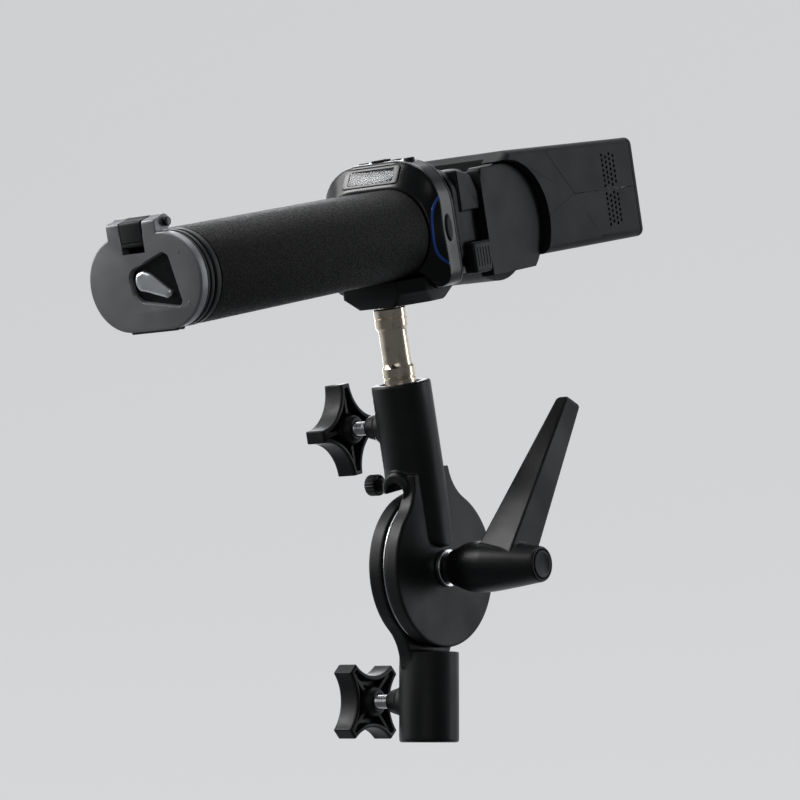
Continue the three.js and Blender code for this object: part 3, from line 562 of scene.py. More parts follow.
def yoke_outline(top):
    half, reach = TUBE_R - 0.15, DISC_R + SHOULDER_R
    centre = half + SHOULDER_R
    rise = math.sqrt(reach**2 - centre**2)
    meet = math.degrees(math.atan2(rise, centre))
    left = arc(-centre, rise, SHOULDER_R, 0, -meet, 14)
    disc = arc(0, 0, DISC_R, 180 - meet, 360 + meet, 90)
    right = arc(centre, rise, SHOULDER_R, 180 + meet, 180, 14)
    return [(-half, top)] + left[1:] + disc[1:-1] + right[:-1] + [(half, top)]


def half_yoke(top, disc):
    """Hinge disc on the +X side, running up into a tube with hollow shoulders."""
    mouth = [(TUBE_R - 1.1 + 1.1 * math.sin(t), top - 1.1 + 1.1 * math.cos(t)) for t in quarter()]
    tube_body = lathe([(0, 0), (TUBE_R, 0)] + mouth[::-1] + [(0, top)], "z", 128)
    tongue = arc(0, 30, TUBE_R, 180, 360, 48, 20.5 / TUBE_R)
    tongue += [(TUBE_R, UMBRELLA_Z), (-TUBE_R, UMBRELLA_Z)]
    near = prism(tongue, disc[0], TUBE_R + 1, "x")
    above = block((-14, 14), (-14, 14), (FAR_SIDE, top + 1))
    plate = prism(yoke_outline(UMBRELLA_Z + 5), disc[0], disc[1], "x", 0.7)
    return join(plate, common(tube_body, join(near, above)))


def knob_boss(z):
    cone = [(0, -8), (8.6, -8), (8.2, -12.2), (7.1, -13.3), (6.3, -14.6), (4.9, -19.6)]
    cone += [(4.3, -20.5), (0, -20.5)]
    return moved(lathe(cone, "x", 64), z=z)


def yoke_bores(knob_z):
    return moved(rod(3.5, -21.5, -7, "x", 32), z=knob_z)


def lower_yoke():
    body = moved(half_yoke(HINGE_Z, (-0.6, 6.2)), z=HINGE_Z, turn=180, about="Y")
    join(body, knob_boss(LOWER_KNOB_Z))
    socket = [(0, -1), (9.2, -1), (9.2, 0), (SOCKET_R, 1.1), (SOCKET_R, SOCKET_DEPTH), (0, SOCKET_DEPTH)]
    nut = moved(prism(circle(7.5, 6), -7.2, -4.7, "x"), z=HINGE_Z)
    pivot = moved(rod(PIVOT_R, -20, 20, "x", 48), z=HINGE_Z)
    cut(body, lathe(socket, "z", 96), nut, pivot, yoke_bores(LOWER_KNOB_Z))
    # The socket's rim stays crisp, so its skin is rebuilt finely.
    soften(body, SKIN, 5)
    place(body, "lower_bracket", "lower_half", PAINT, LOWER, ["lower_yoke"])


def upper_yoke():
    body = half_yoke(81.0, (2.4, 9.2))
    lip = lathe([(0, -15.3), (5.6, -15.3), (6.9, -14.4), (7.4, -12), (7.6, -6), (0, -6)], "y", 64)
    below = block((-9, 2.4), (-20, 0), (0, FAR_SIDE))
    join(body, cut(moved(lip, z=UMBRELLA_Z), below), knob_boss(UPPER_KNOB_Z))
    web = prism(fillet([(-9.4, 30), (9.4, 30), (7.4, 37), (-7.4, 37)], 1.5), -13.6, -4, "y", 0.6)
    join(body, common(web, block((2.6, 12), (-30, 0), (0, 60))))
    socket = lathe([(0, 44.5), (SOCKET_R, 44.5), (SOCKET_R, 80), (9, 81), (9, 82), (0, 82)], "z", 96)
    hole = moved(rod(4.2, -30, 30, "y", 64), z=UMBRELLA_Z, turn=6.5)
    pinch = moved(rod(2.4, -14, -1, "x", 32), z=UMBRELLA_Z)
    pivot = rod(PIVOT_R, -20, 20, "x", 48)
    cut(body, socket, hole, pinch, pivot, yoke_bores(UPPER_KNOB_Z))
    soften(body, SKIN, 5)
    place(body, "upper_bracket", "upper_half", PAINT, UPPER, ["upper_yoke"])


def hinge():
    """Friction washer between the discs, and the nut and stud that clamp them."""
    face = [(8, 0.95), (8, 2.05), (32.3, 2.05), (32.9, 1.8), (33.0, 1.5), (32.9, 1.2), (32.3, 0.95)]
    rings = [[(along, a, b) for a, b in circle(r, 128)] for r, along in face]
    washer = moved(loft(rings, capped=False), z=HINGE_Z)
    place(washer, "washer_plate", "lower_half", STEEL, LOWER, ["friction_washer"])
    nut = prism(circle(7.0, 6), -9.6, -5.0, "x", 0.25)
    nut = common(nut, lathe([(0, -9.6), (6.1, -9.6), (7.2, -9.0), (7.2, -5), (0, -5)], "x"))
    cut(nut, rod(PIVOT_R, -12, 0, "x", 32))
    place(moved(nut, z=HINGE_Z), "stud_nut", "lower_half", STEEL, LOWER, ["hinge_nut"])
    profile = [(0, -9.2), (3.1, -9.2)] + thread(3.6, 3.95, -9.0, 0.7, 26)
    stud = lathe(profile + [(3.95, 33.7), (0, 33.7)], "x", 48)
    place(stud, "threaded_stud", "lever", STEEL, UPPER, ["lever_stud"])


LEVER_LEAN = -33.4  # degrees from the upper half's axis


def lever():
    """A flat tapered arm on a turned barrel."""
    root = {"x": (29.5, 48.5), "half": 8.8, "z": 2.0}
    tip = {"x": (53.3, 58.9), "half": 5.0, "z": 75.0}
    rings = []
    for share in (0, 0.5, 0.985, 1.0):
        lo, hi = (root["x"][k] + (tip["x"][k] - root["x"][k]) * share for k in (0, 1))
        half = root["half"] + (tip["half"] - root["half"]) * share
        tuck = 0.6 if share == 1.0 else 0.0
        z = root["z"] + (tip["z"] - root["z"]) * share
        corners = [(lo + tuck, -half + tuck), (hi - tuck, -half + tuck)]
        corners += [(hi - tuck, half - tuck), (lo + tuck, half - tuck)]
        rings.append([(a, b, z) for a, b in fillet(corners, 0.55, 3)])
    arm = moved(loft(rings), turn=LEVER_LEAN)
    profile = [(0, 11.9), (6.2, 11.9), (6.6, 12.2), (6.6, 13.8), (7.3, 14), (8.0, 15.2), (8.6, 17.5)]
    profile += [(9.6, 20), (10.4, 22.4), (10.9, 26), (11.0, 29), (10.85, 34), (10.3, 39), (9.4, 46)]
    profile += [(8.4, 53), (7.7, 58), (7.5, 59.3), (7.0, 60), (6.3, 60), (6.1, 59), (0, 59)]
    barrel = lathe(profile, "x", 128)
    body = join(barrel, arm)
    cut(body, rod(PIVOT_R, 10.9, 34, "x", 48))
    soften(body, 0.36, 3)
    place(body, "lever_arm", "lever", PAINT, UPPER, ["clamp_lever"])
    cap = [(0, 59.0), (5.85, 59.0), (5.85, 59.9), (5.5, 60.2), (4.6, 60.2), (4.2, 59.95), (0, 59.85)]
    place(lathe(cap, "x"), "lever_cap", "lever", KNOB, UPPER, ["lever_end_cap"])
    ring = tube(8.0, PIVOT_R, 9.5, 11.6, "x", 96, 0.35)
    place(ring, "lever_ring", "lever", SCREW, UPPER, ["lever_washer"], slot="steel")


STAR = {"radius": 20.0, "lobe": 2.8, "waist": 11.2, "inner": -30.0, "outer": -40.0}


def star_outline():
    """Four round lobes with a hollow arc between each two."""
    diagonal = STAR["waist"] / math.sqrt(2)
    span = STAR["radius"] + STAR["lobe"] - 2 * diagonal
    square = STAR["radius"] ** 2 + STAR["lobe"] ** 2 - 2 * diagonal**2
    centre = square / (2 * span)
    r = math.sqrt(2) * (centre - diagonal)
    start = math.degrees(math.atan2(STAR["lobe"] - centre, STAR["radius"] - centre))
    points = []
    for degrees in (0, 90, 180, 270):
        turn = math.radians(degrees)
        a = centre * (math.cos(turn) - math.sin(turn))
        b = centre * (math.sin(turn) + math.cos(turn))
        points += arc(a, b, r, start + degrees, -270 - start + degrees, 22)
    return points


def star_knob(prefix, where, angle):
    """Four-lobed knob, hollow between its rim and its domed hub on the tube's side."""
    outline = star_outline()
    star = prism(outline, STAR["outer"], STAR["inner"], "x", 0.75)
    pocket = prism(inset(outline, 1.9), -35.2, -29, "x")
    cut(star, pocket)
    hub = [(0, -37), (6.9, -37), (6.8, -31.4), (6.5, -29.9), (5.9, -28.5), (5.2, -27.6), (4.5, -27.1)]
    hub.append((0, -27))
    rib = rounded_box(-1.0, 1.0, 5, 18.6, 0.4, 3)
    ribs = [moved(prism(rib, -36, -31.6, "x"), turn=90 * k) for k in range(4)]
    join(star, lathe(hub, "x", 64), *ribs)
    ring = cut(rod(9.2, -41, -39.5, "x", 64), rod(8.4, -42, -39, "x", 64))
    cut(star, ring, rod(3.3, -36.9, -20, "x", 48))
    soften(star, 0.36, 3)
    moved(star, turn=angle)
    place(star, prefix + "_knob", prefix + "_knob", KNOB, where, [prefix + "_star_knob"])
    profile = [(0, -36.7), (3, -36.7), (3, -27.4), (2.75, -27.1)] + thread(3.0, 2.78, -26.8, 0.8, 18)
    screw = moved(lathe(profile + [(2.6, -12.1), (0, -12.1)], "x", 48), turn=angle)
    place(screw, prefix + "_screw", prefix + "_knob", SCREW, where, [prefix + "_knob_screw"], slot="steel")
    pad = moved(rod(2.8, -11.8, -8.0, "x", 48, 0.3), turn=angle)
    place(pad, prefix + "_pad", prefix + "_pad", BRASS, where, [prefix + "_clamp_pad"])


def thumbscrew():
    head = prism(knurled(4.5, 0.14, 22, 6), -25, -19.6, "x", 0.5)
    stem = [(0, -20.5), (2.9, -20.5), (2.9, -18.4), (2.0, -17.8), (2.0, -4.9), (1.6, -4.5), (0, -4.5)]
    body = join(head, lathe(stem, "x", 48))
    cut(body, rod(2.6, -26, -24.5, "x", 48))
    where = UPPER @ Matrix.Translation((0, 0, UMBRELLA_Z))
    place(body, "thumbscrew", "umbrella_screw", KNOB, where, ["umbrella_thumbscrew"])


def spigot():
    profile = [(0, 46.5), (7.0, 46.5), (7.9, 47.6), (7.95, 76), (7.2, 77.4), (6.9, 78), (6.9, 82.6)]
    profile += [(6.5, 82.9), (6.5, 83.5), (6.9, 83.8), (6.9, 87.6), (6.6, 88.1), (6.2, 88.9)]
    profile += [(6.15, 90), (6.15, 103)]
    profile += [(6.3, 104), (6.8, 104.7), (7.0, 105.1), (7.0, 108.4), (6.75, 108.6), (6.75, 109)]
    profile += [(7.0, 109.2), (7.0, 112.7), (6.5, 113.3), (3, 113.3)] + thread(3.0, 2.6, 113.9, 1, 7)
    body = lathe(profile + [(2.4, 121), (0, 121)], "z", 128)
    place(body, "spigot_stud", "flash_body", CHROME, UPPER, ["spigot"], 30)


def bracket():
    lower_yoke()
    upper_yoke()
    hinge()
    lever()
    star_knob("lower", LOWER @ Matrix.Translation((0, 0, LOWER_KNOB_Z)), 45)
    star_knob("upper", UPPER @ Matrix.Translation((0, 0, UPPER_KNOB_Z)), 0)
    thumbscrew()
    spigot()


# --- strobe: grip and battery door ---

GRIP_W, GRIP_H = 29.2, 19.05
SLEEVE = 1.3
DOOR_BACK, DOOR_FRONT = -149.5, -145.3
PIN = {"y": -143.0, "z": 22.5, "x": -3.2}
KEY_X, KEY_Z = -1.6, 0.2
COLLAR_BACK, COLLAR_CREST, COLLAR_FRONT = -2.3, 4.5, 14.6
COLLAR_W, COLLAR_TOP, COLLAR_LOW = 31.6, 30.6, -25.0
FOOT_TOP, FOOT_BOTTOM = -19.4, -30.2


def at_pin(made):
    return moved(made, y=PIN["y"], z=PIN["z"])


def collar_outline(spare):
    """The collar's full section: a dome above, straight sides and a flat underside."""
    right = [(11, 0), (18, -1.4), (24, -4.6), (28.4, -9.8), (31, -16.4)]
    right = [(x + spare, COLLAR_TOP + spare + drop) for x, drop in right]
    w, low = COLLAR_W + spare, COLLAR_LOW - spare
    right += [(w, 9), (w, low + 5.4), (w - 1.6, low + 1.6), (w - 5.4, low)]
    radii = [8, 12, 12, 14, 12, 10, 2.5, 3.0, 3.0]
    outline = right + [(-x, z) for x, z in right[::-1]]
    return fillet(outline[::-1], (radii + radii[::-1])[::-1], 5)


def radial_ring(outline, y, count):
    """Where rays from the origin at even angles meet a convex outline."""
    ring = []
    for k in range(count):
        angle = 2 * math.pi * (k + 0.5) / count
        c, s = math.cos(angle), math.sin(angle)
        reach = 0.0
        for (ax, az), (bx, bz) in zip(outline, outline[1:] + outline[:1]):
            cross = c * (bz - az) - s * (bx - ax)
            if abs(cross) < 1e-9:
                continue
            along = (ax * (bz - az) - az * (bx - ax)) / cross
            part = (ax * s - az * c) / cross
            if along > 0 and -1e-6 < part < 1 + 1e-6:
                reach = max(reach, along)
        ring.append((reach * c, y, reach * s))
    return ring


def collar_solid(spare):
    """The collar swells from the grip's oval to its full section."""
    sides = 180
    root = radial_ring(stadium(GRIP_W + 0.7 + spare, GRIP_H + 0.7 + spare, 48), COLLAR_BACK, sides)
    full = radial_ring(collar_outline(spare), COLLAR_CREST, sides)
    return loft([root, full, [(x, COLLAR_FRONT, z) for x, _, z in full]])


def grip():
    outer = prism(stadium(GRIP_W, GRIP_H, 56), -137, -3, "y", edges=(0.5, 0.6))
    cut(outer, prism(stadium(GRIP_W - SLEEVE, GRIP_H - SLEEVE, 56), -140, 2, "y"))
    place(outer, "grip_cover", "flash_body", SLEEVE_SKIN, STROBE, ["grip_sleeve"], 30)


def end_ring():
    """Two stepped bands that close the grip, with the door's middle knuckle on top."""
    bands = [prism(stadium(GRIP_W, GRIP_H, 56), -143.4, -141.3, "y", 0.45)]
    bands.append(prism(stadium(GRIP_W - 0.7, GRIP_H - 0.7, 56), -141.8, -140.0, "y"))
    bands.append(prism(stadium(GRIP_W + 0.1, GRIP_H + 0.1, 56), -140.4, -137.3, "y", 0.6))
    ring = join(*bands)
    cut(ring, prism(stadium(GRIP_W - 4.2, GRIP_H - 3.6, 56), -150, -130, "y"))
    left, right = PIN["x"] - 5.6, PIN["x"] + 5.6
    side = [(-149.5, 14.2), (-145.2, 14.2), (-145.2, 17), (-141, 17.5), (-141, 22), (-142, 25.6)]
    side = fillet(side + [(-149.5, 24.2)], [0.5, 0.2, 0.2, 0.3, 1.0, 2.6, 1.6], 5)
    leaf = prism(side, left, right, "x", 0.45)
    groove = block((left - 1, right + 1), (-150, -149.0), (15.6, 16.1))
    cut(leaf, groove)
    leaf = common(leaf, block((-20, 20), (-160, -120), (14, 30)))
    join(ring, leaf, at_pin(rod(3.1, left, right, "x", 64, 0.4)))
    cut(ring, at_pin(rod(1.35, -30, 30, "x", 32)))
    place(ring, "grip_ring", "flash_body", MATTE, STROBE, ["grip_end_ring"], slot="body_gloss")


FAN = [(-7.6, 2), (-6.2, 5), (11, 10.8), (13.6, 9.6), (17.6, -8.6), (16, -10.6), (-3, -7.4), (-6.6, -4.4)]


def fan(spare):
    """The door's recess, grown all round by spare."""
    corners = inset(FAN[::-1], -spare)
    return fillet(corners, [2.2, 4.0, 2.2, 1.8, 1.8, 1.8, 3.0, 3.0][::-1], 6)


def door():
    """Stadium plate with two hinge lugs, a fan-shaped recess and the seal behind it."""
    plate = prism(stadium(GRIP_W, GRIP_H, 56), DOOR_BACK, DOOR_FRONT, "y", edges=(0.9, 0.35))
    for side in (-9.4, 9.4):
        left, right = PIN["x"] + side - 3.35, PIN["x"] + side + 3.35
        outline = [(-149.5, 15.5), (-143.4, 15.5), (-141.4, 20), (-140.6, 23.2), (-142, 25.6), (-149.5, 24.0)]
        lug = prism(fillet(outline, [0.4, 0.4, 1.0, 2.0, 2.6, 1.6], 5), left, right, "x", 0.4)
        relief = block((-30, 30), (DOOR_FRONT, -138), (-30, PIN["z"] - 3.15))
        join(plate, cut(lug, relief), at_pin(rod(3.1, left, right, "x", 64, 0.4)))
    notch = block((PIN["x"] - 5.95, PIN["x"] + 5.95), (-151, -138), (11.6, 40))
    steps = ((1.0, -151), (0.55, -149.5), (0.12, -148.9), (0.0, -148.2), (-0.25, -146.6))
    walls = loft([[(a, y, b) for a, b in fan(spare)] for spare, y in steps])
    hole = moved(rod(2.7, -151, -144, "y", 48), x=KEY_X, z=KEY_Z)
    cut(plate, notch, walls, hole, at_pin(rod(1.5, -40, 40, "x", 32)))
    dot = [(0, -149.7), (0.55, -149.65), (0.75, -149.3), (0.75, -148.8), (0, -148.8)]
    join(plate, *[moved(lathe(dot, "y", 24), x=x, z=z) for x, z in ((19.6, 10.2), (21.2, -9.6))])
    tab = fillet([(-12, -17.9), (14, -17.9), (13, -19.6), (-11, -19.6)], 0.6)
    lip = prism(tab, DOOR_BACK + 0.8, DOOR_FRONT, "y", 0.2)
    place(plate, "door_plate", "door", DOOR, STROBE, ["battery_door"], 30)
    place(lip, "door_lip", "door", RUBBER, STROBE, [], slot="body_matte")
    # A black sheet on the recess's floor: painted shade inside the recess.
    floor = prism(fan(-0.1), -147.3, -146.2, "y")
    cut(floor, moved(rod(2.9, -151, -144, "y", 48), x=KEY_X, z=KEY_Z))
    place(floor, "recess_shade_sheet", "door", GLOSS, STROBE, [])
    seal = prism(stadium(GRIP_W - 0.3, GRIP_H - 0.3, 56), -145.05, -143.7, "y", 0.3)
    gap = block((PIN["x"] - 7, PIN["x"] + 7), (-150, -140), (GRIP_H - 5.5, 30))
    cut(seal, prism(stadium(GRIP_W - 5, GRIP_H - 5, 56), -147, -140, "y"), gap)
    place(seal, "door_seal", "door", RUBBER, STROBE, ["door_gasket"], slot="body_matte")
    pin = rod(1.2, PIN["x"] - 12.6, PIN["x"] + 13.6, "x", 32, 0.2)
    button = rod(1.9, PIN["x"] + 13.0, PIN["x"] + 14.6, "x", 32, 0.4)
    pin = at_pin(join(pin, button))
    place(pin, "hinge_pin", "flash_body", GLOSS, STROBE, ["door_hinge_pin"])


def key():
    """Polished teardrop pointer, domed, that turns the bolt behind the door."""
    corners = [(-4.0, 0.4), (-2.6, -3.4), (1.4, -4.3), (11.4, -7.3), (13.6, -6.4), (13.9, -4.4)]
    corners += [(4.6, 3.2), (0.6, 4.6), (-3.0, 3.6)]
    outline = fillet(corners, [2.4, 2.4, 3, 1.2, 1.2, 1.4, 5, 2.4, 2.2], 6)
    dome = [(0, -146.75), (0, -148.2), (0.25, -148.7), (0.6, -149.05), (1.0, -149.25), (1.45, -149.35)]
    pointer = loft([[(a, y, b) for a, b in inset(outline, depth)] for depth, y in dome])
    crest = lathe([(0, -149.1), (2.9, -149.3), (3.5, -149.0), (3.6, -147.2), (0, -147.2)], "y", 64)
    body = join(pointer, moved(crest, x=0.2))
    shaft = rod(2.5, -147.5, DOOR_FRONT + 3, "y", 48)
    bolt = block((-2.6, 9), (DOOR_FRONT + 0.6, DOOR_FRONT + 2.6), (-2.6, 2.6), 0.3)
    join(body, shaft, bolt)
    soften(body, 0.2, 4)
    where = STROBE @ Matrix.Translation((KEY_X, 0, KEY_Z))
    place(body, "key_pointer", "key", KEY, where, ["door_key"])


# --- strobe: collar and controls ---

PANEL_Y, PANEL_Z = 1.1, 25.1
DIAL_Y = 9.6
BUTTONS = {"power": -9.5, "mode": 8.4, "test": 15.0}
SIDE_BUTTON = (8.0, -0.4)


def on_panel(made):
    return moved(made, y=PANEL_Y, z=PANEL_Z, turn=PANEL_TILT)


def oval(w, h):
    return [(SIDE_BUTTON[0] + a, SIDE_BUTTON[1] + b) for a, b in circle(w, 48, squeeze=h / w)]


def collar():
    body = collar_solid(0)
    soften(body, 0.55, 14)
    # The grip and the swivel ring, the window, the dial and buttons, the foot's insert.
    tools = [prism(stadium(GRIP_W - SLEEVE, GRIP_H - SLEEVE, 48), -60, 12, "y"), rod(14.1, 0, 30, "y")]
    tools.append(on_panel(prism(rounded_box(-15.2, 15.2, -4.8, 4.8, 2.0), -1.7, 6, "z")))
    tools.append(on_panel(block((-12.4, 12.4), (-4, 4), (-4, 1))))
    tools.append(moved(rod(4.5, 27.2, 40, "z"), y=DIAL_Y))
    tools += [moved(rod(2.65, 25, 40, "z", 48), x=x, y=DIAL_Y) for x in BUTTONS.values()]
    tools.append(prism(oval(2.5, 5.9), 27.9, 40, "x"))
    tools += [moved(rod(5.3, -40, -22.3, "z", 48)), moved(rod(3.8, -23.6, -10, "z", 48))]
    cut(body, *tools)
    # A parting groove round the collar, just behind its front edge.
    groove = prism(rounded_box(-40, 40, -40, 40, 3), 12.3, 12.7, "y")
    cut(groove, prism(collar_outline(-0.5), 11, 14, "y"))
    cut(body, groove)
    place(body, "collar_body", "flash_body", GLOSS, STROBE, ["collar_shell"], 30)
    crescent = arc(17.4, -1.2, 19.4, 130, 230, 44) + arc(18.0, -1.2, 19.0, 226, 134, 44)
    trim = common(prism(crescent, 27, 36, "x"), collar_solid(0.3))
    place(cut(trim, collar_solid(-0.8)), "blue_trim", "flash_body", BLUE, STROBE, ["side_trim"])
    button = prism(oval(2.2, 5.6), 29.2, 32.3, "x", edges=(0.0, 0.9), steps=6)
    place(button, "side_key", "side_press", MATTE, STROBE, ["side_button"])


def controls():
    bezel = prism(rounded_box(-15.0, 15.0, -4.6, 4.6, 1.8), -1.4, 0.1, "z", edges=(0.0, 0.35))
    cut(bezel, prism(rounded_box(-12.1, 12.1, -3.3, 3.3, 0.8), -3, 3, "z"))
    place(on_panel(bezel), "panel_frame", "flash_body", GLOSS, STROBE, ["panel_glass"])
    pane = prism(rounded_box(-12.0, 12.0, -3.2, 3.2, 0.7), -1.2, -0.05, "z", 0.1)
    place(on_panel(pane), "panel_window", "flash_body", GLASS, STROBE, [], slot="lens")
    tray = block((-12, 12), (-3.7, 3.7), (-3.6, -1.75), 0.2)
    cut(tray, block((-11.4, 11.4), (-3.1, 3.1), (-2.3, 0)))
    place(on_panel(tray), "display_tray", "flash_body", MATTE, STROBE, ["lcd_module"])
    screen = prism(rounded_box(-11.3, 11.3, -3.0, 3.0, 0.4), -2.25, -1.8, "z", 0.08)
    place(on_panel(screen), "display_face", "flash_body", SCREEN, STROBE, [], slot="body_matte")
    dial = prism(knurled(4.08, 0.12, 30, 4), 27.6, 31.6, "z", edges=(0.0, 0.4))
    cut(dial, lathe([(0, 31.0), (2.4, 31.1), (2.9, 31.7), (3.0, 33), (0, 33)], "z", 64))
    join(dial, block((-0.25, 0.25), (2.0, 3.5), (31.2, 31.75), 0.08))
    place(moved(dial, y=DIAL_Y), "menu_dial", "dial", MATTE, STROBE, ["control_dial"], 30)
    for name, x in BUTTONS.items():
        cap = [(0, 26.2), (2.4, 26.2), (2.4, 30.5), (2.15, 31.0), (1.7, 31.1), (0.9, 30.95), (0, 30.9)]
        cap = moved(lathe(cap, "z", 48), x=x, y=DIAL_Y)
        finish = RUBBER if name == "power" else MATTE
        place(cap, name + "_key", name + "_press", finish, STROBE, [name + "_button"], slot="body_matte")


def foot():
    """Tapered foot: narrow behind the stud, as wide as the collar in front."""
    sole = [(-10, -9), (10, -9), (20, 4), (20, COLLAR_FRONT), (-20, COLLAR_FRONT), (-20, 4)]
    rim = [(-15, -11), (15, -11), (22, -1.5), (25, COLLAR_FRONT), (-25, COLLAR_FRONT), (-22, -1.5)]
    radii = [2.5, 2.5, 3, 1, 1, 3]
    low, high = fillet(sole, radii, 5), fillet(rim, radii, 5)
    drawn_in = fillet(inset(sole, 0.8), radii, 5)
    rings = [[(x, y, z) for x, y in outline] for outline, z in
             ((drawn_in, FOOT_BOTTOM), (low, FOOT_BOTTOM + 0.8), (high, FOOT_BOTTOM + 5.2), (high, FOOT_TOP))]
    body = loft(rings)
    plate = cut(prism(rounded_box(-15.5, 15.5, -6, 12, 4), FOOT_BOTTOM - 1, FOOT_BOTTOM + 0.4, "z"),
                prism(rounded_box(-14.9, 14.9, -5.4, 11.4, 3.5), FOOT_BOTTOM - 2, FOOT_BOTTOM + 2, "z"))
    cut(body, collar_solid(0.15), rod(5.3, -40, 0, "z"), plate)
    place(body, "shoe", "flash_body", MATTE, STROBE, ["mounting_foot"], 30)


# --- strobe: neck and head ---

NECK_BACK, NECK_FRONT = 15.2, 33.0
HEAD_Y, HEAD_Z = 47.5, -4.0
HEAD_W = 36.7
HEAD_FRONT = 143.6
BEZEL_FRONT = 146.4
HEAD_BLANK = 155  # the shell's blank runs past the front, which is cut square
WALL = 2.0
AXLE_R = 5.3
CHEEK_R, WELL_R, TONGUE_R = 27, 24.6, 23.6  # round the tilt axle, from the outside in


def at_axle(made):
    return moved(made, y=HEAD_Y, z=HEAD_Z)


def neck():
    """Base ring and side facets; the latch sits in a slot, the fork on its front."""
    ring = prism(rounded_box(-30.6, 30.6, -22.2, 24.4, 11, 16), NECK_BACK, 19.0, "y", edges=(0.5, 0.8))
    base = prism(rounded_box(-29.0, 29.0, -21.6, 23.2, 9, 16), 17.5, NECK_FRONT, "y", edges=(0.0, 1.2))
    base = join(ring, base, rod(13.8, 11.9, 16.2, "y"))
    for way in (-1, 1):
        facet = [(18.6, 5.0), (32.4, 5.0), (32.6, 12.0), (28.9, 20.0), (18.6, 23.0)]
        facet = fillet(facet, [0.6, 0.8, 2, 1.6, 0.8], 5)
        join(base, prism(facet, *span(way, 24.0, 31.4), "x", 0.9))
    slot = block((27, 40), (19.5, 33.2), (-22.3, -8))
    well = at_axle(rod(WELL_R, -26.4, 26.4, "x", 96))
    cut(base, rod(10, 0, 60, "y"), slot, well)
    place(base, "neck_collar", "neck", MATTE, STROBE, ["neck_base"], 30)
    # The latch: a dark ribbed block in the lower corner of the neck.
    side = [(19.9, -21.8), (31.2, -21.8), (32.9, -16), (32.9, -8.4), (19.9, -8.4)]
    latch = prism(fillet(side, [1.4, 1.8, 1.8, 0.8, 0.8], 5), 28.0, 34.2, "x", edges=(0.2, 1.0))
    cut(latch, bundle([block((33.9, 36), (y, y + 0.5), (-19, -11)) for y in range(22, 32, 2)]))
    place(latch, "latch_key", "latch", MATTE, STROBE, ["latch_button"], 30, slot="body_gloss")
    fork()


def fork():
    """Two round cheeks on a bridge, hollowed for the head's tongue."""
    bridge = block((-27, 27), (NECK_FRONT + 0.3, NECK_FRONT + 5), (-20, 21), 0.4)
    body = cut(bridge, at_axle(rod(WELL_R, -26.4, 26.4, "x", 96)))
    for way in (-1, 1):
        near, far = span(way, 26.4, 33.0)
        edges = (0.3, 1.1) if way > 0 else (1.1, 0.3)
        disc = at_axle(prism(circle(CHEEK_R, 128), near, far, "x", edges=edges))
        rear = fillet([(33.3, -21.2), (52, -24.5), (52, 22.4), (33.3, 22.4)], [1.5, 0.5, 0.5, 2.5], 5)
        cheek = join(disc, prism(rear, near, far, "x", edges=edges))
        cheek = common(cheek, block((-40, 40), (33.3, 80), (-24.2, 23.0)))
        join(body, cut(cheek, at_axle(rod(AXLE_R, *span(way, 25.0, 31.0), "x", 48))))
    cut(body, common(rod(10, 0, 60, "y"), block((-26, 26), (0, 60), (-30, 30))))
    place(body, "fork_cheeks", "neck", MATTE, STROBE, ["neck_fork"], 30)


def head_outline(depth, front):
    """The head from the side; top and bottom go on drawing in past HEAD_FRONT."""
    corners = [(40, 18), (50, -18), (60, -19.6), (front, -21.1 - (front - HEAD_FRONT) * 0.018),
               (front, 24 - (front - HEAD_FRONT) * 0.037), (51.6, 27.6), (40.5, 20.6)]
    return fillet(inset(corners, depth), [0.3, 1.0, 3.0, 0.2, 0.2, 3.0, 1.4], 6)


def vents():
    """Two clusters of staggered round holes on each side."""
    holes = []
    for side in (-1, 1):
        for top in (18.1, 0.7):
            for column in range(4):
                odd = column % 2
                for row in range(7 - odd):
                    hole = prism(circle(0.78, 10), side * 36.1 - 2.2, side * 36.1 + 2.2, "x")
                    z = top - row * 2.3 - odd * 1.15
                    holes.append(moved(hole, y=120.9 + column * 2.95, z=z))
    return bundle(holes)


def seam_side():
    """Everything below the head's side seam."""
    return prism([(30, -60), (160, -60), (160, 1.4), (95.8, 3.6), (73.3, HEAD_Z), (30, HEAD_Z)], -50, 50, "x")


def head_shells():
    outer = prism(head_outline(0, HEAD_BLANK), -HEAD_W, HEAD_W, "x", 3.6, steps=8)
    inner = prism(head_outline(WALL, HEAD_BLANK), WALL - HEAD_W, HEAD_W - WALL, "x")
    inner = common(inner, block((-40, 40), (78, 170), (-40, 40)))
    tongue = at_axle(rod(TONGUE_R, -26.1, 26.1, "x", 128))
    cheeks = [at_axle(rod(CHEEK_R + 0.5, *span(way, 26.1, 40), "x", 128)) for way in (1, -1)]
    behind = block((-40, 40), (0, HEAD_Y), (-60, 60))
    sweep = common(at_axle(rod(60, -26.1, 26.1, "x", 128)), behind)
    cut(sweep, at_axle(rod(TONGUE_R, -26.2, 26.2, "x", 128)))
    body = join(outer, tongue)
    cut(body, inner, *cheeks, sweep, block((-50, 50), (HEAD_FRONT, 180), (-60, 60)))
    cut(body, rod(8, 40, 90, "y"), at_axle(rod(AXLE_R, -40, 40, "x", 48)))
    # Fine parting lines on the side panels: one up to the top edge, one down to the bottom.
    lines = []
    for way in (-1, 1):
        for start, end in (((95.8, 3.9), (76.2, 26.9)), ((103.9, -6.4), (113.3, -18.4))):
            a, b = Vector(start), Vector(end)
            across = (b - a).orthogonal().normalized() * 0.1
            points = [tuple(p) for p in (a - across, b - across, b + across, a + across)]
            lines.append(prism(points, *span(way, HEAD_W - 0.2, HEAD_W + 1), "x"))
    cut(body, bundle(lines), vents())
    upper = body.copy()
    upper.data = body.data.copy()
    scene.collection.objects.link(upper)
    cut(upper, seam_side())
    lower = common(body, moved(seam_side(), z=-0.16))
    place(upper, "head_upper", "head", HEAD, STROBE, ["head_top_shell"], 30)
    place(lower, "head_lower", "head", HEAD, STROBE, ["head_bottom_shell"], 30)


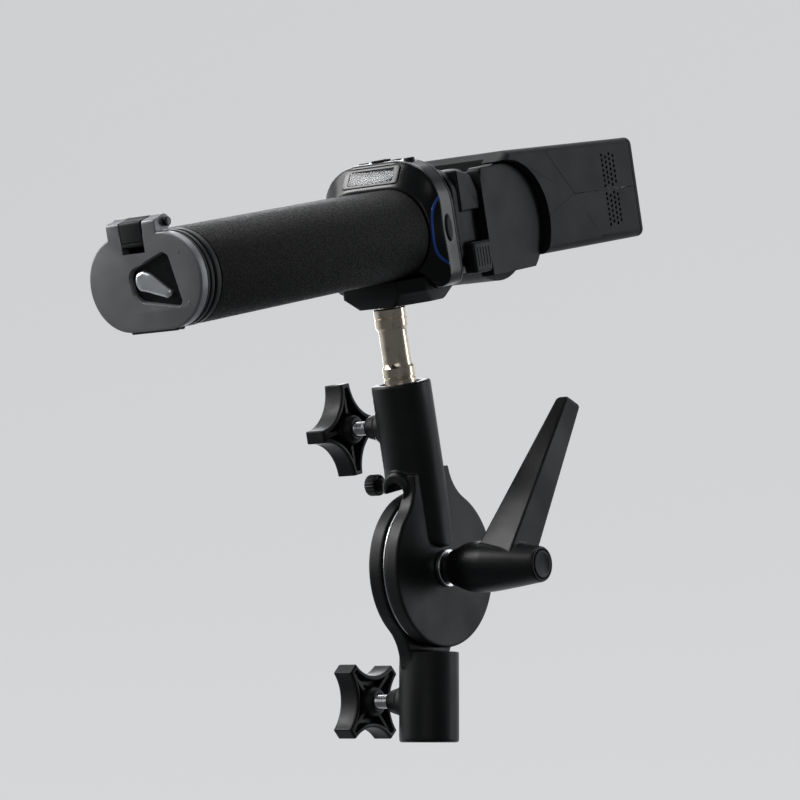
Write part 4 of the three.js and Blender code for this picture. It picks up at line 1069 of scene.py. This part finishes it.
def head_front():
    face = rounded_box(-HEAD_W, HEAD_W, -21.1, 24, 3.6, 12)
    bezel = prism(face, HEAD_FRONT + 0.3, BEZEL_FRONT, "y", edges=(0.1, 0.9))
    cut(bezel, prism(rounded_box(-32, 32, -16.6, 19.6, 1.2), 140, 150, "y"))
    place(bezel, "lamp_bezel", "head", HEAD, STROBE, ["front_bezel"], 30)
    # Window with fine horizontal prisms on its outer face.
    profile = [(144.0, -16.4), (145.1, -16.4)]
    for k in range(35):
        low = -16.0 + k
        profile += [(145.15, low), (145.65, low + 0.3), (145.15, low + 0.95)]
    profile += [(145.1, 19.4), (144.0, 19.4)]
    window = prism(profile, -31.8, 31.8, "x")
    place(window, "lamp_window", "head", LENS, STROBE, ["fresnel_lens"], 20, slot="lens")


# --- strobe: inner parts that keep their CAD shape ---

INNER = {
    "grip_shell": MATTE, "magazine_frame": MATTE, "thread_insert": BRASS, "main_board": BOARD,
    "main_capacitor": CELL, "swivel_ring": STEEL, "tilt_axle": STEEL, "reflector": MIRROR,
    "flash_tube": TUBE, "zoom_carriage": MATTE, "zoom_lead_screw": SCREW, "zoom_guide_rod": STEEL,
    "zoom_motor": STEEL,
}


def inner_parts():
    finishes = dict(INNER, **{f"battery_cell_{k}": CELL for k in range(1, 9)})
    for name, finish in finishes.items():
        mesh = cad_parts[name].data
        mesh.materials.clear()
        mesh.materials.append(finish)


def strobe():
    grip()
    end_ring()
    door()
    key()
    collar()
    controls()
    foot()
    neck()
    head_shells()
    head_front()
    inner_parts()


# --- stage, light and camera ---

FLOOR_Z = -0.383
CAMERA = Vector((0.8523, -1.0972, -0.0323))
AIM = Vector((0.0, -0.02, 0.112))
FOCAL_MM = 146


def backdrop():
    """Pale floor that curves up into a round wall on every side."""
    flat, bend = 2.0, 1.2
    profile = [(0.25 * k, FLOOR_Z) for k in range(1, 9)]
    for k in range(1, 17):
        t = k / 16 * math.pi / 2
        profile.append((flat + bend * math.sin(t), FLOOR_Z + bend * (1 - math.cos(t))))
    profile += [(flat + bend, 2.2), (flat + bend, 3.6)]
    sides = 96
    vertices = []
    for r, z in profile:
        vertices += [(a, b, z) for a, b in circle(r, sides)]
    vertices.append((0, 0, FLOOR_Z))
    faces = [(len(vertices) - 1, k, (k + 1) % sides) for k in range(sides)]
    for low in range(0, len(vertices) - 1 - sides, sides):
        high = low + sides
        faces += [(low + k, high + k, high + (k + 1) % sides, low + (k + 1) % sides) for k in range(sides)]
    mesh = bpy.data.meshes.new("backdrop")
    mesh.from_pydata(vertices, [], faces)
    mesh.shade_smooth()
    made = bpy.data.objects.new("backdrop", mesh)
    scene.collection.objects.link(made)
    paper = Finish("backdrop_paper", (0.36, 0.363, 0.367), 0.9, specular=0.1)
    paper.tint(paper.spread(paper.noise(1.5, 2), 0.35, 0.7, 0, 0.3), (0.33, 0.333, 0.338))
    paper.shader.inputs["Emission Color"].default_value = (0.95, 0.965, 0.98, 1)
    paper.shader.inputs["Emission Strength"].default_value = 0.6
    mesh.materials.append(paper.material)
    made.visible_glossy = False
    made.visible_diffuse = False


def area_light(name, where, aim, size, watts, colour=(1, 1, 1)):
    data = bpy.data.lights.new(name, "AREA")
    data.shape = "RECTANGLE"
    data.size, data.size_y = size
    data.energy = watts
    data.color = colour
    made = bpy.data.objects.new(name, data)
    made.location = where
    made.rotation_mode = "QUATERNION"
    made.rotation_quaternion = (Vector(aim) - Vector(where)).to_track_quat("-Z", "Y")
    made.visible_camera = False
    scene.collection.objects.link(made)


def lights():
    aim = (0, -0.02, 0.117)
    area_light("key_left", (-1.25, -0.75, 0.72), aim, (0.9, 1.1), 12, (1.0, 0.99, 0.97))
    area_light("strip_back_left", (-0.95, 0.9, 0.47), aim, (0.35, 1.2), 7, (0.94, 0.97, 1.0))
    area_light("rim_right", (1.0, 1.05, 0.47), aim, (0.35, 1.3), 4.5, (0.95, 0.97, 1.0))
    area_light("top_soft", (-0.2, 0.1, 1.32), aim, (1.1, 1.1), 9)
    # This one only shows as the highlight on the collar's rear slope.
    area_light("panel_glint", (-0.93, -0.83, 1.08), (0, -0.04, 0.205), (0.55, 0.36), 7)
    area_light("front_fill", (0.9, -1.6, 0.57), aim, (1.2, 1.2), 3)


def sky():
    """Dim all round, pale behind the object as the main camera sees it."""
    world = bpy.data.worlds.new("sky")
    scene.world = world
    world.use_nodes = True
    tree = world.node_tree
    back = tree.nodes["Background"]
    away = (AIM - CAMERA).normalized()
    coords = tree.nodes.new("ShaderNodeTexCoord")
    dot = tree.nodes.new("ShaderNodeVectorMath")
    dot.operation = "DOT_PRODUCT"
    dot.inputs[1].default_value = away
    ramp = tree.nodes.new("ShaderNodeMapRange")
    for key, value in (("From Min", -0.15), ("From Max", 0.95), ("To Min", 0.1), ("To Max", 0.85)):
        ramp.inputs[key].default_value = value
    tree.links.new(coords.outputs["Generated"], dot.inputs[0])
    tree.links.new(dot.outputs["Value"], ramp.inputs["Value"])
    tree.links.new(ramp.outputs["Result"], back.inputs["Strength"])
    back.inputs["Color"].default_value = (0.93, 0.96, 1.0, 1)


def camera():
    data = bpy.data.cameras.new("camera")
    data.lens = FOCAL_MM
    data.sensor_width = 36
    made = bpy.data.objects.new("camera", data)
    made.location = CAMERA
    made.rotation_mode = "QUATERNION"
    made.rotation_quaternion = (AIM - CAMERA).to_track_quat("-Z", "Y")
    data.clip_start, data.clip_end = 0.05, 30
    scene.collection.objects.link(made)
    scene.camera = made


bracket()
strobe()
backdrop()
lights()
sky()
camera()
scene.view_settings.view_transform = "Standard"
